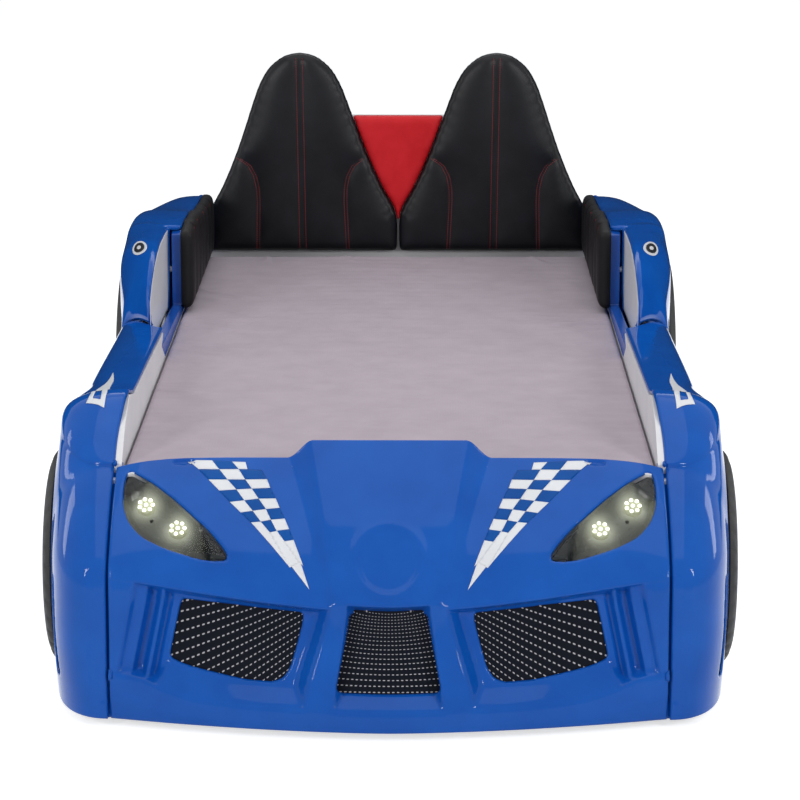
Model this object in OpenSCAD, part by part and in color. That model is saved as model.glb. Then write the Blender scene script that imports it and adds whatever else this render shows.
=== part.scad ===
// Racing-car bed for a toddler. The nose points along -Y, +Z is up and the
// origin is on the floor at the middle of the bed's box. Left and right are
// those of someone who stands at the nose and looks at the bed. Millimetres.

/* [Mattress] */
// Width of the mattress
mattress_w = 900; // [860:10:940]
// Length of the mattress
mattress_l = 1900; // [1800:10:2000]
// Thickness of the mattress
mattress_t = 130; // [110:5:150]
// Radius of the mattress's upright corners
mattress_r = 45; // [20:5:80]
// Gap between the mattress and the boards round it
mattress_gap = 7; // [4:1:12]

/* [Body] */
// Length of the nose in front of the mattress
nose_l = 265; // [250:5:290]
// Length of the headboard end behind the mattress
tail_l = 95; // [92:1:110]
// How far the body shells stand out from the side boards at their widest
shell_depth = 103; // [95:1:115]
// How far the doors' upper edge draws in behind the front wheels
door_pinch = 20; // [10:1:26]
// How far the front shell reaches past the side boards' inner faces
nose_side = 10; // [5:1:15]
// Wall of the moulded shells
shell_t = 4; // [3:0.5:5]
// Wall of the front shell, measured along the bed
nose_t = 6; // [4:0.5:8]
// Height of the shells' lower edge above the floor
skirt_z = 15; // [12:1:25]
// Seam between neighbouring shells
seam_gap = 3; // [2:0.5:5]
// Rise of the hood's rear edge over the mattress
hood_rise = 19; // [12:1:26]
// Height of the brow over the grilles, at the middle
brow_z = 212; // [200:2:225]
// Rise of the hood's middle ridge at its rear edge
ridge_h = 31; // [20:1:36]
// Rise of the front fenders' crest over the mattress
crest_rise = 98; // [88:1:106]
// Rise of the door sills over the mattress
sill_rise = 66; // [58:1:72]
// Rise of the rear quarters' crest over the mattress
quarter_rise = 181; // [170:1:190]

/* [Boards] */
// Thickness of the side, foot and head boards
board_t = 18; // [16:1:20]
// Height of the boards' lower edge above the floor
board_z = 10; // [8:1:12]
// Thickness of the guard boards
guard_t = 20; // [18:1:22]
// Length of a guard board's tall part, from the headboard forwards
guard_l = 690; // [660:10:720]
// Thickness of the padding on the guard boards
guard_pad_t = 27; // [20:1:32]

/* [Slatted base] */
// Height of the slats' top above the floor
deck_z = 272; // [264:2:280]
// Number of slats
slat_count = 13; // [10:1:16]
// Width of a slat
slat_w = 70; // [60:5:80]
// Thickness of a slat
slat_t = 18; // [15:1:20]
// Side of the square ledgers that carry the slats
ledger_s = 30; // [25:1:35]
// Width of the centre beam
beam_w = 40; // [35:5:50]
// Height of the centre beam
beam_h = 60; // [50:5:70]
// Side of the centre beam's square legs
leg_s = 50; // [40:5:60]

/* [Seat backs] */
// Gap between a seat back's foot and the guard board beside it
seat_side_gap = 9; // [7:1:19]
// Height of the seat backs over the mattress
seat_h = 468; // [440:2:490]
// Thickness of a seat back's padding
seat_t = 46; // [40:1:48]
// Outward lean of a seat back's tip
seat_lean = 6; // [0:1:12]
// Rise of the red pad's top over the mattress
red_pad_rise = 322; // [290:2:340]
// Thickness of the red pad
red_pad_t = 24; // [18:1:30]

/* [Wheels] */
// Radius of the front wheels
front_wheel_r = 190; // [180:1:195]
// Radius of the rear wheels
rear_wheel_r = 247; // [235:1:252]
// Distance of the front wheels' centre behind the nose
front_wheel_in = 440; // [430:2:450]
// Distance of the rear wheels' centre ahead of the tail
rear_wheel_in = 525; // [515:2:535]
// Width of a tyre
tyre_w = 56; // [50:1:60]
// How far the tyres stand out past the body
tyre_proud = 22; // [18:1:26]
// Gap between the tyres and the wheel arches
arch_gap = 13; // [10:1:18]
// Radius of the rims as a share of the wheel
rim_share = 0.7; // [0.64:0.01:0.74]
// Number of spokes
spoke_count = 5; // [5:1:7]
// Radius of the wheel bolts
wheel_bolt_r = 5; // [4:0.5:6]

/* [Lamps] */
// Depth of the lamp tubs
lamp_depth = 34; // [30:2:40]
// Wall of the lamp tubs
lamp_wall = 2.4; // [1.6:0.2:3.2]
// Radius of one light cluster
puck_r = 16; // [14:1:17]
// Thickness of one light cluster
puck_t = 10; // [8:1:12]
// Number of lights round one cluster
led_count = 8; // [6:1:10]

/* [Switch box] */
// Width of the switch box
box_w = 90; // [80:2:110]
// Height of the switch box
box_h = 60; // [50:2:70]
// Depth of the switch box behind its bezel
box_d = 42; // [34:1:50]
// Wall of the switch box
box_wall = 2.5; // [2:0.1:3]
// Radius of the power button
button_r = 9; // [7:0.5:11]
// Travel of the power button
button_travel = 2.5; // [2:0.1:3]
// Radius of the power inlet's bore
inlet_r = 2.8; // [2.4:0.1:3.2]
// Length of the power inlet's bore
inlet_l = 9; // [7:0.5:10]
// Radius of the lamp cables
cable_r = 3; // [2:0.5:4]

/* [Hidden] */

$fn = 48;

// Fits
fit = 0.3;              // between pieces that seat on each other
slide_fit = 0.25;       // round the power button
deep = 400;             // long enough to cut right through a shell

// Where the main pieces lie
nose_y = -(nose_l + mattress_l + tail_l) / 2;
tail_y = -nose_y;
foot_y = nose_y + nose_l;             // front end of the mattress
head_y = foot_y + mattress_l;         // rear end of the mattress
sleep_z = deck_z + mattress_t;        // top of the mattress
in_x = mattress_w / 2 + mattress_gap; // inner face of the side boards
side_x = in_x + board_t;              // outer face of the side boards
body_hw = side_x + shell_depth;       // half width of the body shells
nose_hw = in_x + nose_side;           // half width of the front shell
seat_gap = 2;                         // between the two seat backs
seat_w = in_x - seat_side_gap - seat_gap;
hood_y = foot_y - 10;                 // rear edge of the hood
foot_board_y = hood_y - 14;           // front face of the foot board
head_board_y = tail_y - board_t - 9;  // front face of the head board
seam_y = nose_y + 1097;               // seam of side shell and rear quarter
seam_slant = 140;                     // how far that seam slants back outside
front_wheel_y = nose_y + front_wheel_in;
rear_wheel_y = tail_y - rear_wheel_in;
wheel_clear = 2;                      // gap between the tyres and the floor
front_wheel_z = front_wheel_r + wheel_clear;
rear_wheel_z = rear_wheel_r + wheel_clear;
tyre_x = body_hw + tyre_proud - tyre_w;
guard_y = head_board_y - guard_l;     // front edge of the tall guard board
guard_foot_y = seam_y - 42;           // tip of the guard board's low foot

blue = "#2455a8";
black = "#17181c";
white = "#dcdcde";
wood = "#d8bf94";
steel = "#b4b8bc";

// ---- Curves

function mix(a, b, t) = a + (b - a) * t;
function clamp01(t) = min(1, max(0, t));
function smooth(t) = let (c = clamp01(t)) c * c * (3 - 2 * c);
function bow(a, b, c, t) = (1 - t) * (1 - t) * a + 2 * t * (1 - t) * b + t * t * c;

// Closed smooth curve through the points p, with n steps between neighbours
function loop_at(p, i, t) =
    let (m = len(p), a = p[(i + m - 1) % m], b = p[i], c = p[(i + 1) % m], d = p[(i + 2) % m])
    b + t * (c - a) / 2 + t * t * (2 * a - 5 * b + 4 * c - d) / 2
    + t * t * t * (3 * b - a - 3 * c + d) / 2;
function loop_curve(p, n) = [for (i = [0:len(p) - 1], s = [0:n - 1]) loop_at(p, i, s / n)];

// ---- Front shell surface: t runs from the hood's rear edge (0) over the
// brow (0.5) to the lower lip (1)

function nose_share(x) = abs(x) / nose_hw;
function hood_edge_z(x) = sleep_z + hood_rise - 19 * pow(nose_share(x), 8);
function brow_y(x) = nose_y + 45 + 40 * pow(nose_share(x), 1.6);
function brow_edge_z(x) = brow_z + 50 * pow(nose_share(x), 1.5);
function lip_y(x) = nose_y + 68 * pow(nose_share(x), 1.6);
function ridge(x, h) =
    let (flat_half = mix(130, 82, h), flank = mix(45, 20, h))
    mix(ridge_h, 10, h) * (1 - smooth((abs(x) - flat_half) / flank));
function hood_y_at(x, h) = bow(hood_y, (hood_y + brow_y(x)) / 2 - 12, brow_y(x), h);
function hood_z_at(x, h) =
    bow(hood_edge_z(x), (hood_edge_z(x) + brow_edge_z(x)) / 2 + 22, brow_edge_z(x), h)
    + ridge(x, h);
function face_y_at(x, f) = mix(brow_y(x), lip_y(x), smooth(f));
function face_z_at(x, f) =
    mix(brow_edge_z(x), skirt_z, f) + ridge(x, 1) * (1 - smooth(f / 0.2));
function front_y(x, t) = t < 0.5 ? hood_y_at(x, 2 * t) : face_y_at(x, 2 * t - 1);
function front_z(x, t) = t < 0.5 ? hood_z_at(x, 2 * t) : face_z_at(x, 2 * t - 1);

// Height of the hood's underside over the line at y, found by halving
function under_hood(x, y, lo = 0, hi = 0.5, n = 14) =
    let (m = (lo + hi) / 2)
    n == 0 ? front_z(x, m)
    : front_y(x, m) + nose_t > y ? under_hood(x, y, m, hi, n - 1)
    : under_hood(x, y, lo, m, n - 1);

// ---- Side shell surface: u runs from the front seam to the rear one, and
// v from the lower edge over the shoulder (0.6) to the inner top edge (1)

shoulder_v = 0.6;
corner_u = 0.4;
corner_r = 200;
tuck = 6;
tuck_h = 150;
fender_line = [
    [hood_y, sleep_z + 8], [hood_y + 76, sleep_z + 64],
    [nose_y + 420, sleep_z + crest_rise], [nose_y + 495, sleep_z + sill_rise + 15],
    [nose_y + 800, sleep_z + sill_rise + 5], [seam_y, sleep_z + sill_rise - 5]
];
shoulder_line = [
    [hood_y, sleep_z], [hood_y + 80, sleep_z + 28], [nose_y + 420, sleep_z + 42],
    [nose_y + 614, sleep_z + 31], [nose_y + 785, sleep_z + 28],
    [seam_y + seam_slant, sleep_z + 12]
];
function fender_top(y) = lookup(y, fender_line);
function shoulder_z(y) = lookup(y, shoulder_line);
function tuck_at(z) = tuck * pow(1 - clamp01((z - skirt_z) / tuck_h), 2);
function pinch(y) = smooth((y - front_wheel_y - 20) / 180);
function rear_seam_y(x) =
    seam_y + seam_slant * smooth((x - in_x) / (body_hw - in_x));
// Where a point of the narrowed flank would be on the full width
function widened(x, p) = x + p * (x - in_x) / (body_hw - p - in_x);
function bend(a, n) = pow(max(0, a), 2 / n);
function side_row(u, w) =
    let (
        start_y = front_y(nose_hw, 1 - w), start_z = front_z(nose_hw, 1 - w),
        phi = 90 * min(1, u / corner_u), run = max(0, (u - corner_u) / (1 - corner_u)),
        n = mix(2.2, 2.6, smooth((start_z - skirt_z) / tuck_h)),
        x0 = nose_hw + seam_gap,
        full_x = x0 + (body_hw - x0 - tuck_at(start_z)) * bend(sin(phi), n),
        y = mix(start_y + corner_r * (1 - bend(cos(phi), n)), rear_seam_y(full_x) - seam_gap, run),
        x = full_x - door_pinch * pinch(y) * smooth(w),
        grow = (shoulder_z(y) - skirt_z) / (shoulder_z(hood_y) - skirt_z)
    )
    [x, y, skirt_z + (start_z - skirt_z) * grow];
function side_cap(u, w) =
    let (
        s = side_row(u, 1), run = max(0, (u - corner_u) / (1 - corner_u)),
        p = door_pinch * pinch(s.y), x = mix(in_x + fit, s.x, bend(cos(90 * w), 2.3)),
        y = s.y + (rear_seam_y(widened(x, p)) - rear_seam_y(widened(s.x, p))) * run
    )
    [x, y, mix(s.z, fender_top(y), bend(sin(90 * w), 2.3))];
side_skin = function (u, v)
    v <= shoulder_v ? side_row(u, v / shoulder_v)
    : side_cap(u, (v - shoulder_v) / (1 - shoulder_v));

// ---- Rear quarter surface, with u from the seam to the tail's corner

tail_u = 0.86;
tail_r = 55;
slit_x = in_x + guard_t + 9;          // inner edge beside the open slit
cover_y = guard_y + 25;               // behind this the quarter covers the board
quarter_line = [
    [seam_y + 28, sleep_z + quarter_rise - 121], [seam_y + 46, sleep_z + quarter_rise - 85],
    [seam_y + 72, sleep_z + quarter_rise - 51], [seam_y + 132, sleep_z + quarter_rise - 26],
    [seam_y + 204, sleep_z + quarter_rise - 9], [seam_y + 276, sleep_z + quarter_rise - 1],
    [guard_y + 68, sleep_z + quarter_rise], [guard_y + 218, sleep_z + quarter_rise - 5],
    [guard_y + 318, sleep_z + quarter_rise - 20], [tail_y - 124, sleep_z + quarter_rise - 37],
    [tail_y, sleep_z + quarter_rise - 57]
];
hip_line = [
    [seam_y + seam_slant, sleep_z + 4], [seam_y + 183, sleep_z + 12],
    [seam_y + 249, sleep_z + 42], [seam_y + 300, sleep_z + 72],
    [guard_y + 11, sleep_z + quarter_rise - 58], [guard_y + 98, sleep_z + quarter_rise - 32],
    [guard_y + 200, sleep_z + quarter_rise - 26], [guard_y + 350, sleep_z + quarter_rise - 40],
    [tail_y - 185, sleep_z + quarter_rise - 60], [tail_y, sleep_z + quarter_rise - 84]
];
function quarter_top(y) = lookup(y, quarter_line);
function hip_z(y) = lookup(y, hip_line);
function hip_x(y) = body_hw - 60 * pow(clamp01((y - guard_y - 88) / (tail_y - guard_y - 88)), 2);
function quarter_in_x(y) =
    mix(slit_x, in_x + fit, smooth((y - guard_y - 6) / (cover_y - guard_y)));
waist_line = [[skirt_z, 0], [268, 0.5], [sleep_z + 4, 1]];
function waist(y, z) =
    door_pinch * (1 - smooth((y - seam_y - seam_slant) / 240)) * smooth(lookup(z, waist_line));
function quarter_row(u, w) =
    let (
        run = min(1, u / tail_u), phi = 90 * max(0, (u - tail_u) / (1 - tail_u)),
        y0 = mix(rear_seam_y(body_hw) + 1, tail_y - tail_r, run),
        y = y0 + tail_r * bend(sin(phi), 2.4),
        z = mix(skirt_z, hip_z(y), w),
        x = mix(side_x + 2, hip_x(y0) - tuck_at(z) - waist(y, z), bend(cos(phi), 2.4))
    )
    [x, y, z];
function quarter_cap(u, w) =
    let (
        s = quarter_row(u, 1), run = 1 - min(1, u / tail_u),
        p = waist(s.y, s.z), edge_y = rear_seam_y(widened(s.x, p)),
        slit_y = s.y + (rear_seam_y(widened(slit_x, p)) - edge_y) * run,
        n = mix(2.3, 2.6, smooth((1 - run) / 0.15)),
        x = mix(quarter_in_x(slit_y), s.x, bend(cos(90 * w), n)),
        y = s.y + (rear_seam_y(widened(x, p)) - edge_y) * run
    )
    [x, y, mix(s.z, quarter_top(slit_y), bend(sin(90 * w), n))];
quarter_skin = function (u, v)
    v <= shoulder_v ? quarter_row(u, v / shoulder_v)
    : quarter_cap(u, (v - shoulder_v) / (1 - shoulder_v));

// ---- Skins: a wall between two grids of points

function flat_list(g) = [for (row = g) for (p = row) p];
function sheet_faces(n, m, base, turned) = [
    for (i = [0:n - 2], j = [0:m - 2], half = [0, 1])
        let (a = base + i * m + j, b = a + 1, c = a + m + 1, d = a + m,
             tri = half == 0 ? [a, b, c] : [a, c, d])
        turned ? [tri[0], tri[2], tri[1]] : tri
];
function rim_loop(n, m) = concat(
    [for (i = [0:n - 1]) i * m], [for (j = [1:m - 1]) (n - 1) * m + j],
    [for (i = [n - 2:-1:0]) i * m + m - 1], [for (j = [m - 2:-1:1]) j]
);
module wall_between(outer, inner) {
    n = len(outer);
    m = len(outer[0]);
    edge = rim_loop(n, m);
    rim = [
        for (k = [0:len(edge) - 1], half = [0, 1])
            let (a = edge[k], b = edge[(k + 1) % len(edge)])
            half == 0 ? [a, b, b + n * m] : [a, b + n * m, a + n * m]
    ];
    polyhedron(
        concat(flat_list(outer), flat_list(inner)),
        concat(sheet_faces(n, m, 0, false), sheet_faces(n, m, n * m, true), rim)
    );
}

function unit(v) = v / norm(v);
function skin_normal(skin, u, v) =
    let (e = 0.004, u0 = max(0, u - e), u1 = min(1, u + e), v0 = max(0, v - e), v1 = min(1, v + e))
    unit(cross(skin(u1, v) - skin(u0, v), skin(u, v1) - skin(u, v0)));
// Wall under a skin, from one depth below it to another
module skin_wall(skin, us, vs, from_depth = 0, to_depth = shell_t)
    wall_between(
        [for (u = us) [for (v = vs) skin(u, v) - from_depth * skin_normal(skin, u, v)]],
        [for (u = us) [for (v = vs) skin(u, v) - to_depth * skin_normal(skin, u, v)]]
    );

module front_layer(near, far, x_half = nose_hw, steps = 34) {
    xs = [for (i = [0:steps]) mix(-x_half, x_half, i / steps)];
    ts = [for (j = [0:20]) j / 20];
    wall_between(
        [for (t = ts) [for (x = xs) [x, front_y(x, t), front_z(x, t)] + near]],
        [for (t = ts) [for (x = xs) [x, front_y(x, t), front_z(x, t)] + far]]
    );
}

// ---- Shells

// Outlines of the openings in the front shell, in x and z
grille_line = [
    [-150, 207], [-346, 226], [-374, 131], [-300, 103], [-235, 95], [-186, 97], [-162, 122]
];
centre_grille_line = [[-64, 205], [64, 205], [85, 86], [-85, 86]];
grille_round = 10;
// Outline of a lamp seen from above, in x and y from the front shell's side
lamp_line = [
    [-23, 0], [-100, -55], [-162, -101], [-194, -130], [-190, -136], [-137, -135],
    [-72, -117], [-30, -86], [-15, -45], [-14, -12]
];
lamp_y = hood_y - 17;
badge_y = nose_y + 106;
badge_r = 58;

module rounded(r) offset(r) offset(-r) children();
module grille_area(grow = 0) offset(grow) rounded(grille_round) polygon(grille_line);
module centre_grille_area(grow = 0) offset(grow) rounded(grille_round) polygon(centre_grille_line);
module lamp_area(grow = 0)
    offset(grow) translate([nose_hw, lamp_y]) polygon(loop_curve(lamp_line, 4));
// Prism along the bed through an outline in x and z
module along_bed(from_y, to_y)
    translate([0, to_y, 0]) rotate([90, 0, 0]) linear_extrude(to_y - from_y) children();
module right_side() children();
module left_side() mirror([1, 0, 0]) children();

module front_shell() color(blue) resize([2 * nose_hw, 0, 0]) difference() {
    union() {
        front_layer([0, 0, 0], [0, nose_t, 0]);
        badge_ring();
    }
    for (side = [0, 1]) mirror([side, 0, 0]) {
        along_bed(nose_y - deep, hood_y) grille_area();
        linear_extrude(deep * 2) lamp_area();
    }
    along_bed(nose_y - deep, hood_y) centre_grille_area();
}
module badge_ring()
    translate([0, badge_y, badge_z()])
    rotate([48, 0, 0])
    rotate_extrude() translate([badge_r, 0]) circle(5, $fn = 16);
function badge_z(lo = 0, hi = 0.5, n = 14) =
    let (m = (lo + hi) / 2)
    n == 0 ? front_z(0, m) - 4
    : front_y(0, m) > badge_y ? badge_z(m, hi, n - 1) : badge_z(lo, m, n - 1);

side_us = [for (i = [0:28]) i / 28];
side_vs = [for (j = [0:8]) shoulder_v * j / 8, for (j = [1:6]) mix(shoulder_v, 1, j / 6)];
vent_y = nose_y + 170;
vent_z = 150;
vent_w = 30;
vent_h = 168;
vent_lean = 10;
module vent_area(grow = 0)
    translate([vent_y, vent_z]) rotate(-vent_lean)
    offset(vent_w / 4 + grow) square([vent_w / 2, vent_h - vent_w / 2], center = true);
// Prism across the bed through an outline in y and z
module across_bed(from_x, to_x)
    translate([from_x, 0, 0]) rotate([90, 0, 90]) linear_extrude(to_x - from_x) children();
module side_shell() color(blue) resize([body_hw - in_x - fit, 0, 0]) difference() {
    skin_wall(side_skin, side_us, side_vs);
    wheel_arch(front_wheel_y, front_wheel_z, front_wheel_r);
    across_bed(nose_hw + 40, body_hw + deep) vent_area();
}
module rear_quarter() color(blue) {
    difference() {
        skin_wall(quarter_skin, side_us, side_vs);
        wheel_arch(rear_wheel_y, rear_wheel_z, rear_wheel_r);
    }
    across_bed(slit_x + fit, slit_x + shell_t) slit_wall();
}
// Inner wall of the quarter beside the slit
module slit_wall() {
    start = rear_seam_y(widened(slit_x + shell_t, door_pinch)) + seam_gap;
    under = function (y) quarter_top(y) - shell_t / 2;
    polygon(concat(
        [[start, sleep_z + fit], [start, under(start)]],
        [for (p = quarter_line) if (p.x > start && p.x < cover_y) [p.x, under(p.x)]],
        [[cover_y, under(cover_y)], [cover_y, sleep_z + fit]]
    ));
}
module wheel_arch(y, z, r)
    translate([side_x + 10, y, z]) rotate([0, 90, 0]) cylinder(r = r + arch_gap, h = deep, $fn = 72);
module right_side_shell() right_side() side_shell();
module left_side_shell() left_side() side_shell();
module right_rear_quarter() right_side() rear_quarter();
module left_rear_quarter() left_side() rear_quarter();

// ---- Boards

guard_foot_top = 13;                  // low foot over the mattress at the guard
guard_foot_tip = 31;                  // and at the foot's tip
side_board_end = sleep_z - 7;         // side board's top behind the guard's tip
module side_board() color(white) difference() {
    across_bed(in_x, side_x) polygon(concat(
        [[foot_board_y, board_z], [foot_board_y, nose_board_top], [nose_board_end, nose_board_top],
         [nose_board_end, under_fender(nose_board_end)]],
        [for (p = fender_line) if (p.x > nose_board_end && p.x < seam_y)
            [p.x, under_fender(p.x)]],
        [[seam_y - 7, under_fender(seam_y - 7)],
         [guard_foot_y, sleep_z + guard_foot_tip - 1],
         [guard_foot_y + 70, side_board_end],
         [head_board_y - fit, side_board_end],
         [head_board_y - fit, board_z]]
    ));
    wheel_holes(front_wheel_y, front_wheel_z);
    wheel_holes(rear_wheel_y, rear_wheel_z);
}
top_room = 6;                         // between a board's top and the shell over it
nose_board_top = under_hood(nose_hw, foot_board_y) - top_room;
nose_board_end = hood_y + nose_t + seam_gap;
function under_fender(y) = fender_top(y) - shell_t - top_room;
module wheel_holes(y, z)
    wheel_place(1, y, z) bolt_pair() cylinder(r = wheel_bolt_r + fit, h = deep * 2);
module right_side_board() right_side() side_board();
module left_side_board() left_side() side_board();

module foot_board() color(white) difference() {
    along_bed(foot_board_y, foot_board_y + board_t) polygon(concat(
        [[-in_x + fit, board_z], [in_x - fit, board_z]],
        [for (i = [24:-1:-24]) let (x = (in_x - fit) * i / 24) [x, foot_top(x)]]
    ));
    for (side = [-1, 1]) translate([side * pass_x, foot_board_y - 1, cable_z])
        rotate([-90, 0, 0]) cylinder(r = pass_r, h = board_t + 2);
}
function foot_top(x) = under_hood(abs(x) + 2, foot_board_y) - 2 * fit;

// Half width of a seat back at the share h of its height
seat_side = [
    [0, 0.99], [0.16, 1], [0.22, 0.965], [0.27, 0.905], [0.32, 0.845], [0.42, 0.75],
    [0.52, 0.665], [0.62, 0.59], [0.72, 0.52], [0.82, 0.445], [0.875, 0.39],
    [0.925, 0.32], [0.97, 0.215], [0.993, 0.1], [1, 0]
];
function seat_outline(side) = concat(
    [for (p = seat_side) [side * (p.y * seat_w / 2 + seat_lean * p.x), p.x * seat_h]],
    [for (i = [len(seat_side) - 2:-1:0]) let (p = seat_side[i])
        [side * (-p.y * seat_w / 2 + seat_lean * p.x), p.x * seat_h]]
);
module seat_area(side, grow = 0)
    translate([side * (seat_w + seat_gap) / 2, sleep_z + 2])
    offset(grow) polygon(seat_outline(side));

head_shoulder = 96;                   // head board's shoulders over the mattress
module head_board() color(white) difference() {
    along_bed(head_board_y, head_board_y + board_t) {
        translate([-side_x, board_z]) square([2 * side_x, sleep_z + head_shoulder - board_z]);
        for (side = [-1, 1]) seat_area(side, -4);
        red_area(-2);
    }
    box_place() box_block(box_w + 2 * fit, box_h + 2 * fit, -deep / 4, deep / 4);
}
module red_area(grow = 0)
    offset(grow) polygon([
        [-118, sleep_z + red_pad_rise], [118, sleep_z + red_pad_rise],
        [seat_w / 2, sleep_z + 60], [-seat_w / 2, sleep_z + 60]
    ]);

module guard_board() color(blue) across_bed(in_x, in_x + guard_t) polygon([
    [guard_foot_y + fit, sleep_z + guard_foot_tip - 1],
    [seam_y - 6.5, sleep_z + guard_foot_tip - 2],
    [guard_y - 4, sleep_z + guard_foot_top],
    [guard_y, under_quarter(guard_y) - top_room],
    [guard_y + 18, under_quarter(guard_y + 18)],
    [guard_y + 68, under_quarter(guard_y + 68)],
    [guard_y + 218, under_quarter(guard_y + 218)],
    [guard_y + 318, under_quarter(guard_y + 318)],
    [tail_y - 124, under_quarter(tail_y - 124)],
    [head_board_y - fit, under_quarter(head_board_y)],
    [head_board_y - fit, side_board_end + fit],
    [guard_foot_y + 70.5, side_board_end + fit]
]);
function under_quarter(y) = quarter_top(y) - shell_t - top_room;
module right_guard_board() right_side() guard_board();
module left_guard_board() left_side() guard_board();

pad_front = guard_y - 26;
pad_low = 8;
module pad_area(inset = 0) offset(6) offset(-6 - inset) polygon([
    [pad_front, sleep_z + pad_low], [pad_front, sleep_z + quarter_rise - 5],
    [guard_y + 68, sleep_z + quarter_rise + 1], [guard_y + 218, sleep_z + quarter_rise - 4],
    [guard_y + 318, sleep_z + quarter_rise - 19], [seat_front_y() - 2, sleep_z + quarter_rise - 36],
    [seat_front_y() - 2, sleep_z + pad_low]
]);
function seat_front_y() = head_board_y - red_pad_t - seat_t + 4;
module guard_pad() color(black) {
    across_bed(in_x - fit - guard_pad_t * 0.6, in_x - fit) pad_area();
    across_bed(in_x - fit - guard_pad_t, in_x - fit - guard_pad_t * 0.6) pad_area(5);
}
module right_guard_pad() right_side() guard_pad();
module left_guard_pad() left_side() guard_pad();

// ---- Seat backs

module seat_pad(side) color(black) {
    y = head_board_y - fit;
    along_bed(y - seat_back_t, y) seat_area(side);
    along_bed(y - seat_back_t - seat_t * 0.3, y - seat_back_t) seat_area(side, -5);
    along_bed(seat_front_y() + 1, y - seat_back_t - seat_t * 0.3) seat_area(side, -14);
}
seat_back_t = red_pad_t + seat_t * 0.3;
module right_seat_pad() seat_pad(1);
module left_seat_pad() seat_pad(-1);
module red_centre_pad() color("#c62128")
    along_bed(head_board_y - fit - red_pad_t, head_board_y - fit) difference() {
        red_area();
        for (side = [-1, 1]) seat_area(side, fit);
    }

// ---- Mattress and slatted base

module mattress() color("#b3a7b1") translate([0, (foot_y + head_y) / 2, deck_z + mattress_t / 2])
    hull() for (x = [-1, 1], y = [-1, 1])
        translate([x * (mattress_w / 2 - mattress_r), y * (mattress_l / 2 - mattress_r), 0])
        mattress_corner();
module mattress_corner() rotate_extrude($fn = 32) {
    edge = 18;
    translate([0, -mattress_t / 2]) square([mattress_r - edge, mattress_t]);
    translate([0, edge - mattress_t / 2]) square([mattress_r, mattress_t - 2 * edge]);
}

slat_end = 4;                         // gap between a slat's end and the board
module slats() color(wood) {
    first = foot_y + 60;
    pitch = (mattress_l - 120 - slat_w) / (slat_count - 1);
    for (i = [0:slat_count - 1])
        translate([-in_x + slat_end, first + i * pitch, deck_z - slat_t])
        cube([2 * (in_x - slat_end), slat_w, slat_t]);
}
ledger_top = deck_z - slat_t;
module slat_ledger(side) color(wood)
    translate([side * (in_x - ledger_s / 2), (foot_y + head_y) / 2, ledger_top - ledger_s / 2])
    cube([ledger_s, mattress_l + 10, ledger_s], center = true);
module left_slat_ledger() slat_ledger(-1);
module right_slat_ledger() slat_ledger(1);
module centre_beam() color(wood)
    translate([-beam_w / 2, foot_board_y + board_t, ledger_top - beam_h])
    cube([beam_w, head_board_y - foot_board_y - board_t, beam_h]);
leg_count = 3;
module centre_legs() color(wood) for (i = [0:leg_count - 1])
    translate([-leg_s / 2, mix(foot_y, head_y, (i + 1) / (leg_count + 1)) - leg_s / 2, 0])
    cube([leg_s, leg_s, ledger_top - beam_h]);

// ---- Grilles and vents, held behind the front shell's and side shells' walls

grille_t = 3;
grille_rim = 9;
module grille_skin() front_layer([0, nose_t + fit, 0], [0, nose_t + fit + grille_t, 0]);
module grille() color(black) intersection() {
    grille_skin();
    along_bed(nose_y - deep, hood_y) grille_area(grille_rim);
}
module left_grille() grille();
module right_grille() mirror([1, 0, 0]) grille();
module centre_grille() color(black) intersection() {
    grille_skin();
    along_bed(nose_y - deep, hood_y) centre_grille_area(grille_rim);
}
vent_t = 3;
vent_rim = 8;
module corner_vent() color(black) intersection() {
    skin_wall(
        side_skin,
        [for (i = [4:11]) i / 28],
        [for (j = [0:8]) shoulder_v * j / 8],
        shell_t + fit,
        shell_t + fit + vent_t
    );
    across_bed(nose_hw, body_hw + deep) vent_area(vent_rim);
}
module right_corner_vent() right_side() corner_vent();
module left_corner_vent() left_side() corner_vent();

// ---- Headlamps

lens_t = 2;
lens_drop = 1.5;
puck_places = [[nose_hw - 57, lamp_y - 44], [nose_hw - 113, lamp_y - 82]];
puck_tilt = 40;
puck_foot = 5;                        // bosses in the tub carry the clusters this high
boss_r = 12;
module lamp_layer(near, far) front_layer([0, 0, near], [0, 0, far]);
module lamp_housing() color(black) difference() {
    intersection() {
        lamp_layer(-lens_drop - lens_t - fit, -lamp_depth);
        linear_extrude(deep * 2) lamp_area(-fit);
    }
    difference() {
        intersection() {
            lamp_layer(deep / 4, -lamp_depth + lamp_wall);
            linear_extrude(deep * 2) lamp_area(-fit - lamp_wall);
        }
        for (p = puck_places) puck_place(p) translate([0, 0, puck_foot - fit - 20])
            cylinder(r = boss_r, h = 20);
    }
}
module lamp_lens() color([0.75, 0.8, 0.8, 0.4]) intersection() {
    lamp_layer(-lens_drop, -lens_drop - lens_t);
    linear_extrude(deep * 2) lamp_area(-fit);
}
function tub_z(x, y, lo = 0, hi = 0.5, n = 14) =
    let (m = (lo + hi) / 2)
    n == 0 ? front_z(x, m) - lamp_depth + lamp_wall
    : front_y(x, m) > y ? tub_z(x, y, m, hi, n - 1) : tub_z(x, y, lo, m, n - 1);
module puck_place(p) translate([p.x, p.y, tub_z(p.x, p.y)]) rotate([puck_tilt, 0, 0]) children();
module led_pucks() color("#f4f6ee")
    for (p = puck_places) puck_place(p) translate([0, 0, puck_foot]) {
        cylinder(r = puck_r, h = puck_t);
        for (i = [0:led_count - 1]) rotate(360 * i / led_count)
            translate([puck_r * 0.64, 0, puck_t]) sphere(puck_r * 0.17, $fn = 16);
    }
module right_lamp_housing() right_side() lamp_housing();
module left_lamp_housing() left_side() lamp_housing();
module right_lamp_lens() right_side() lamp_lens();
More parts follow.
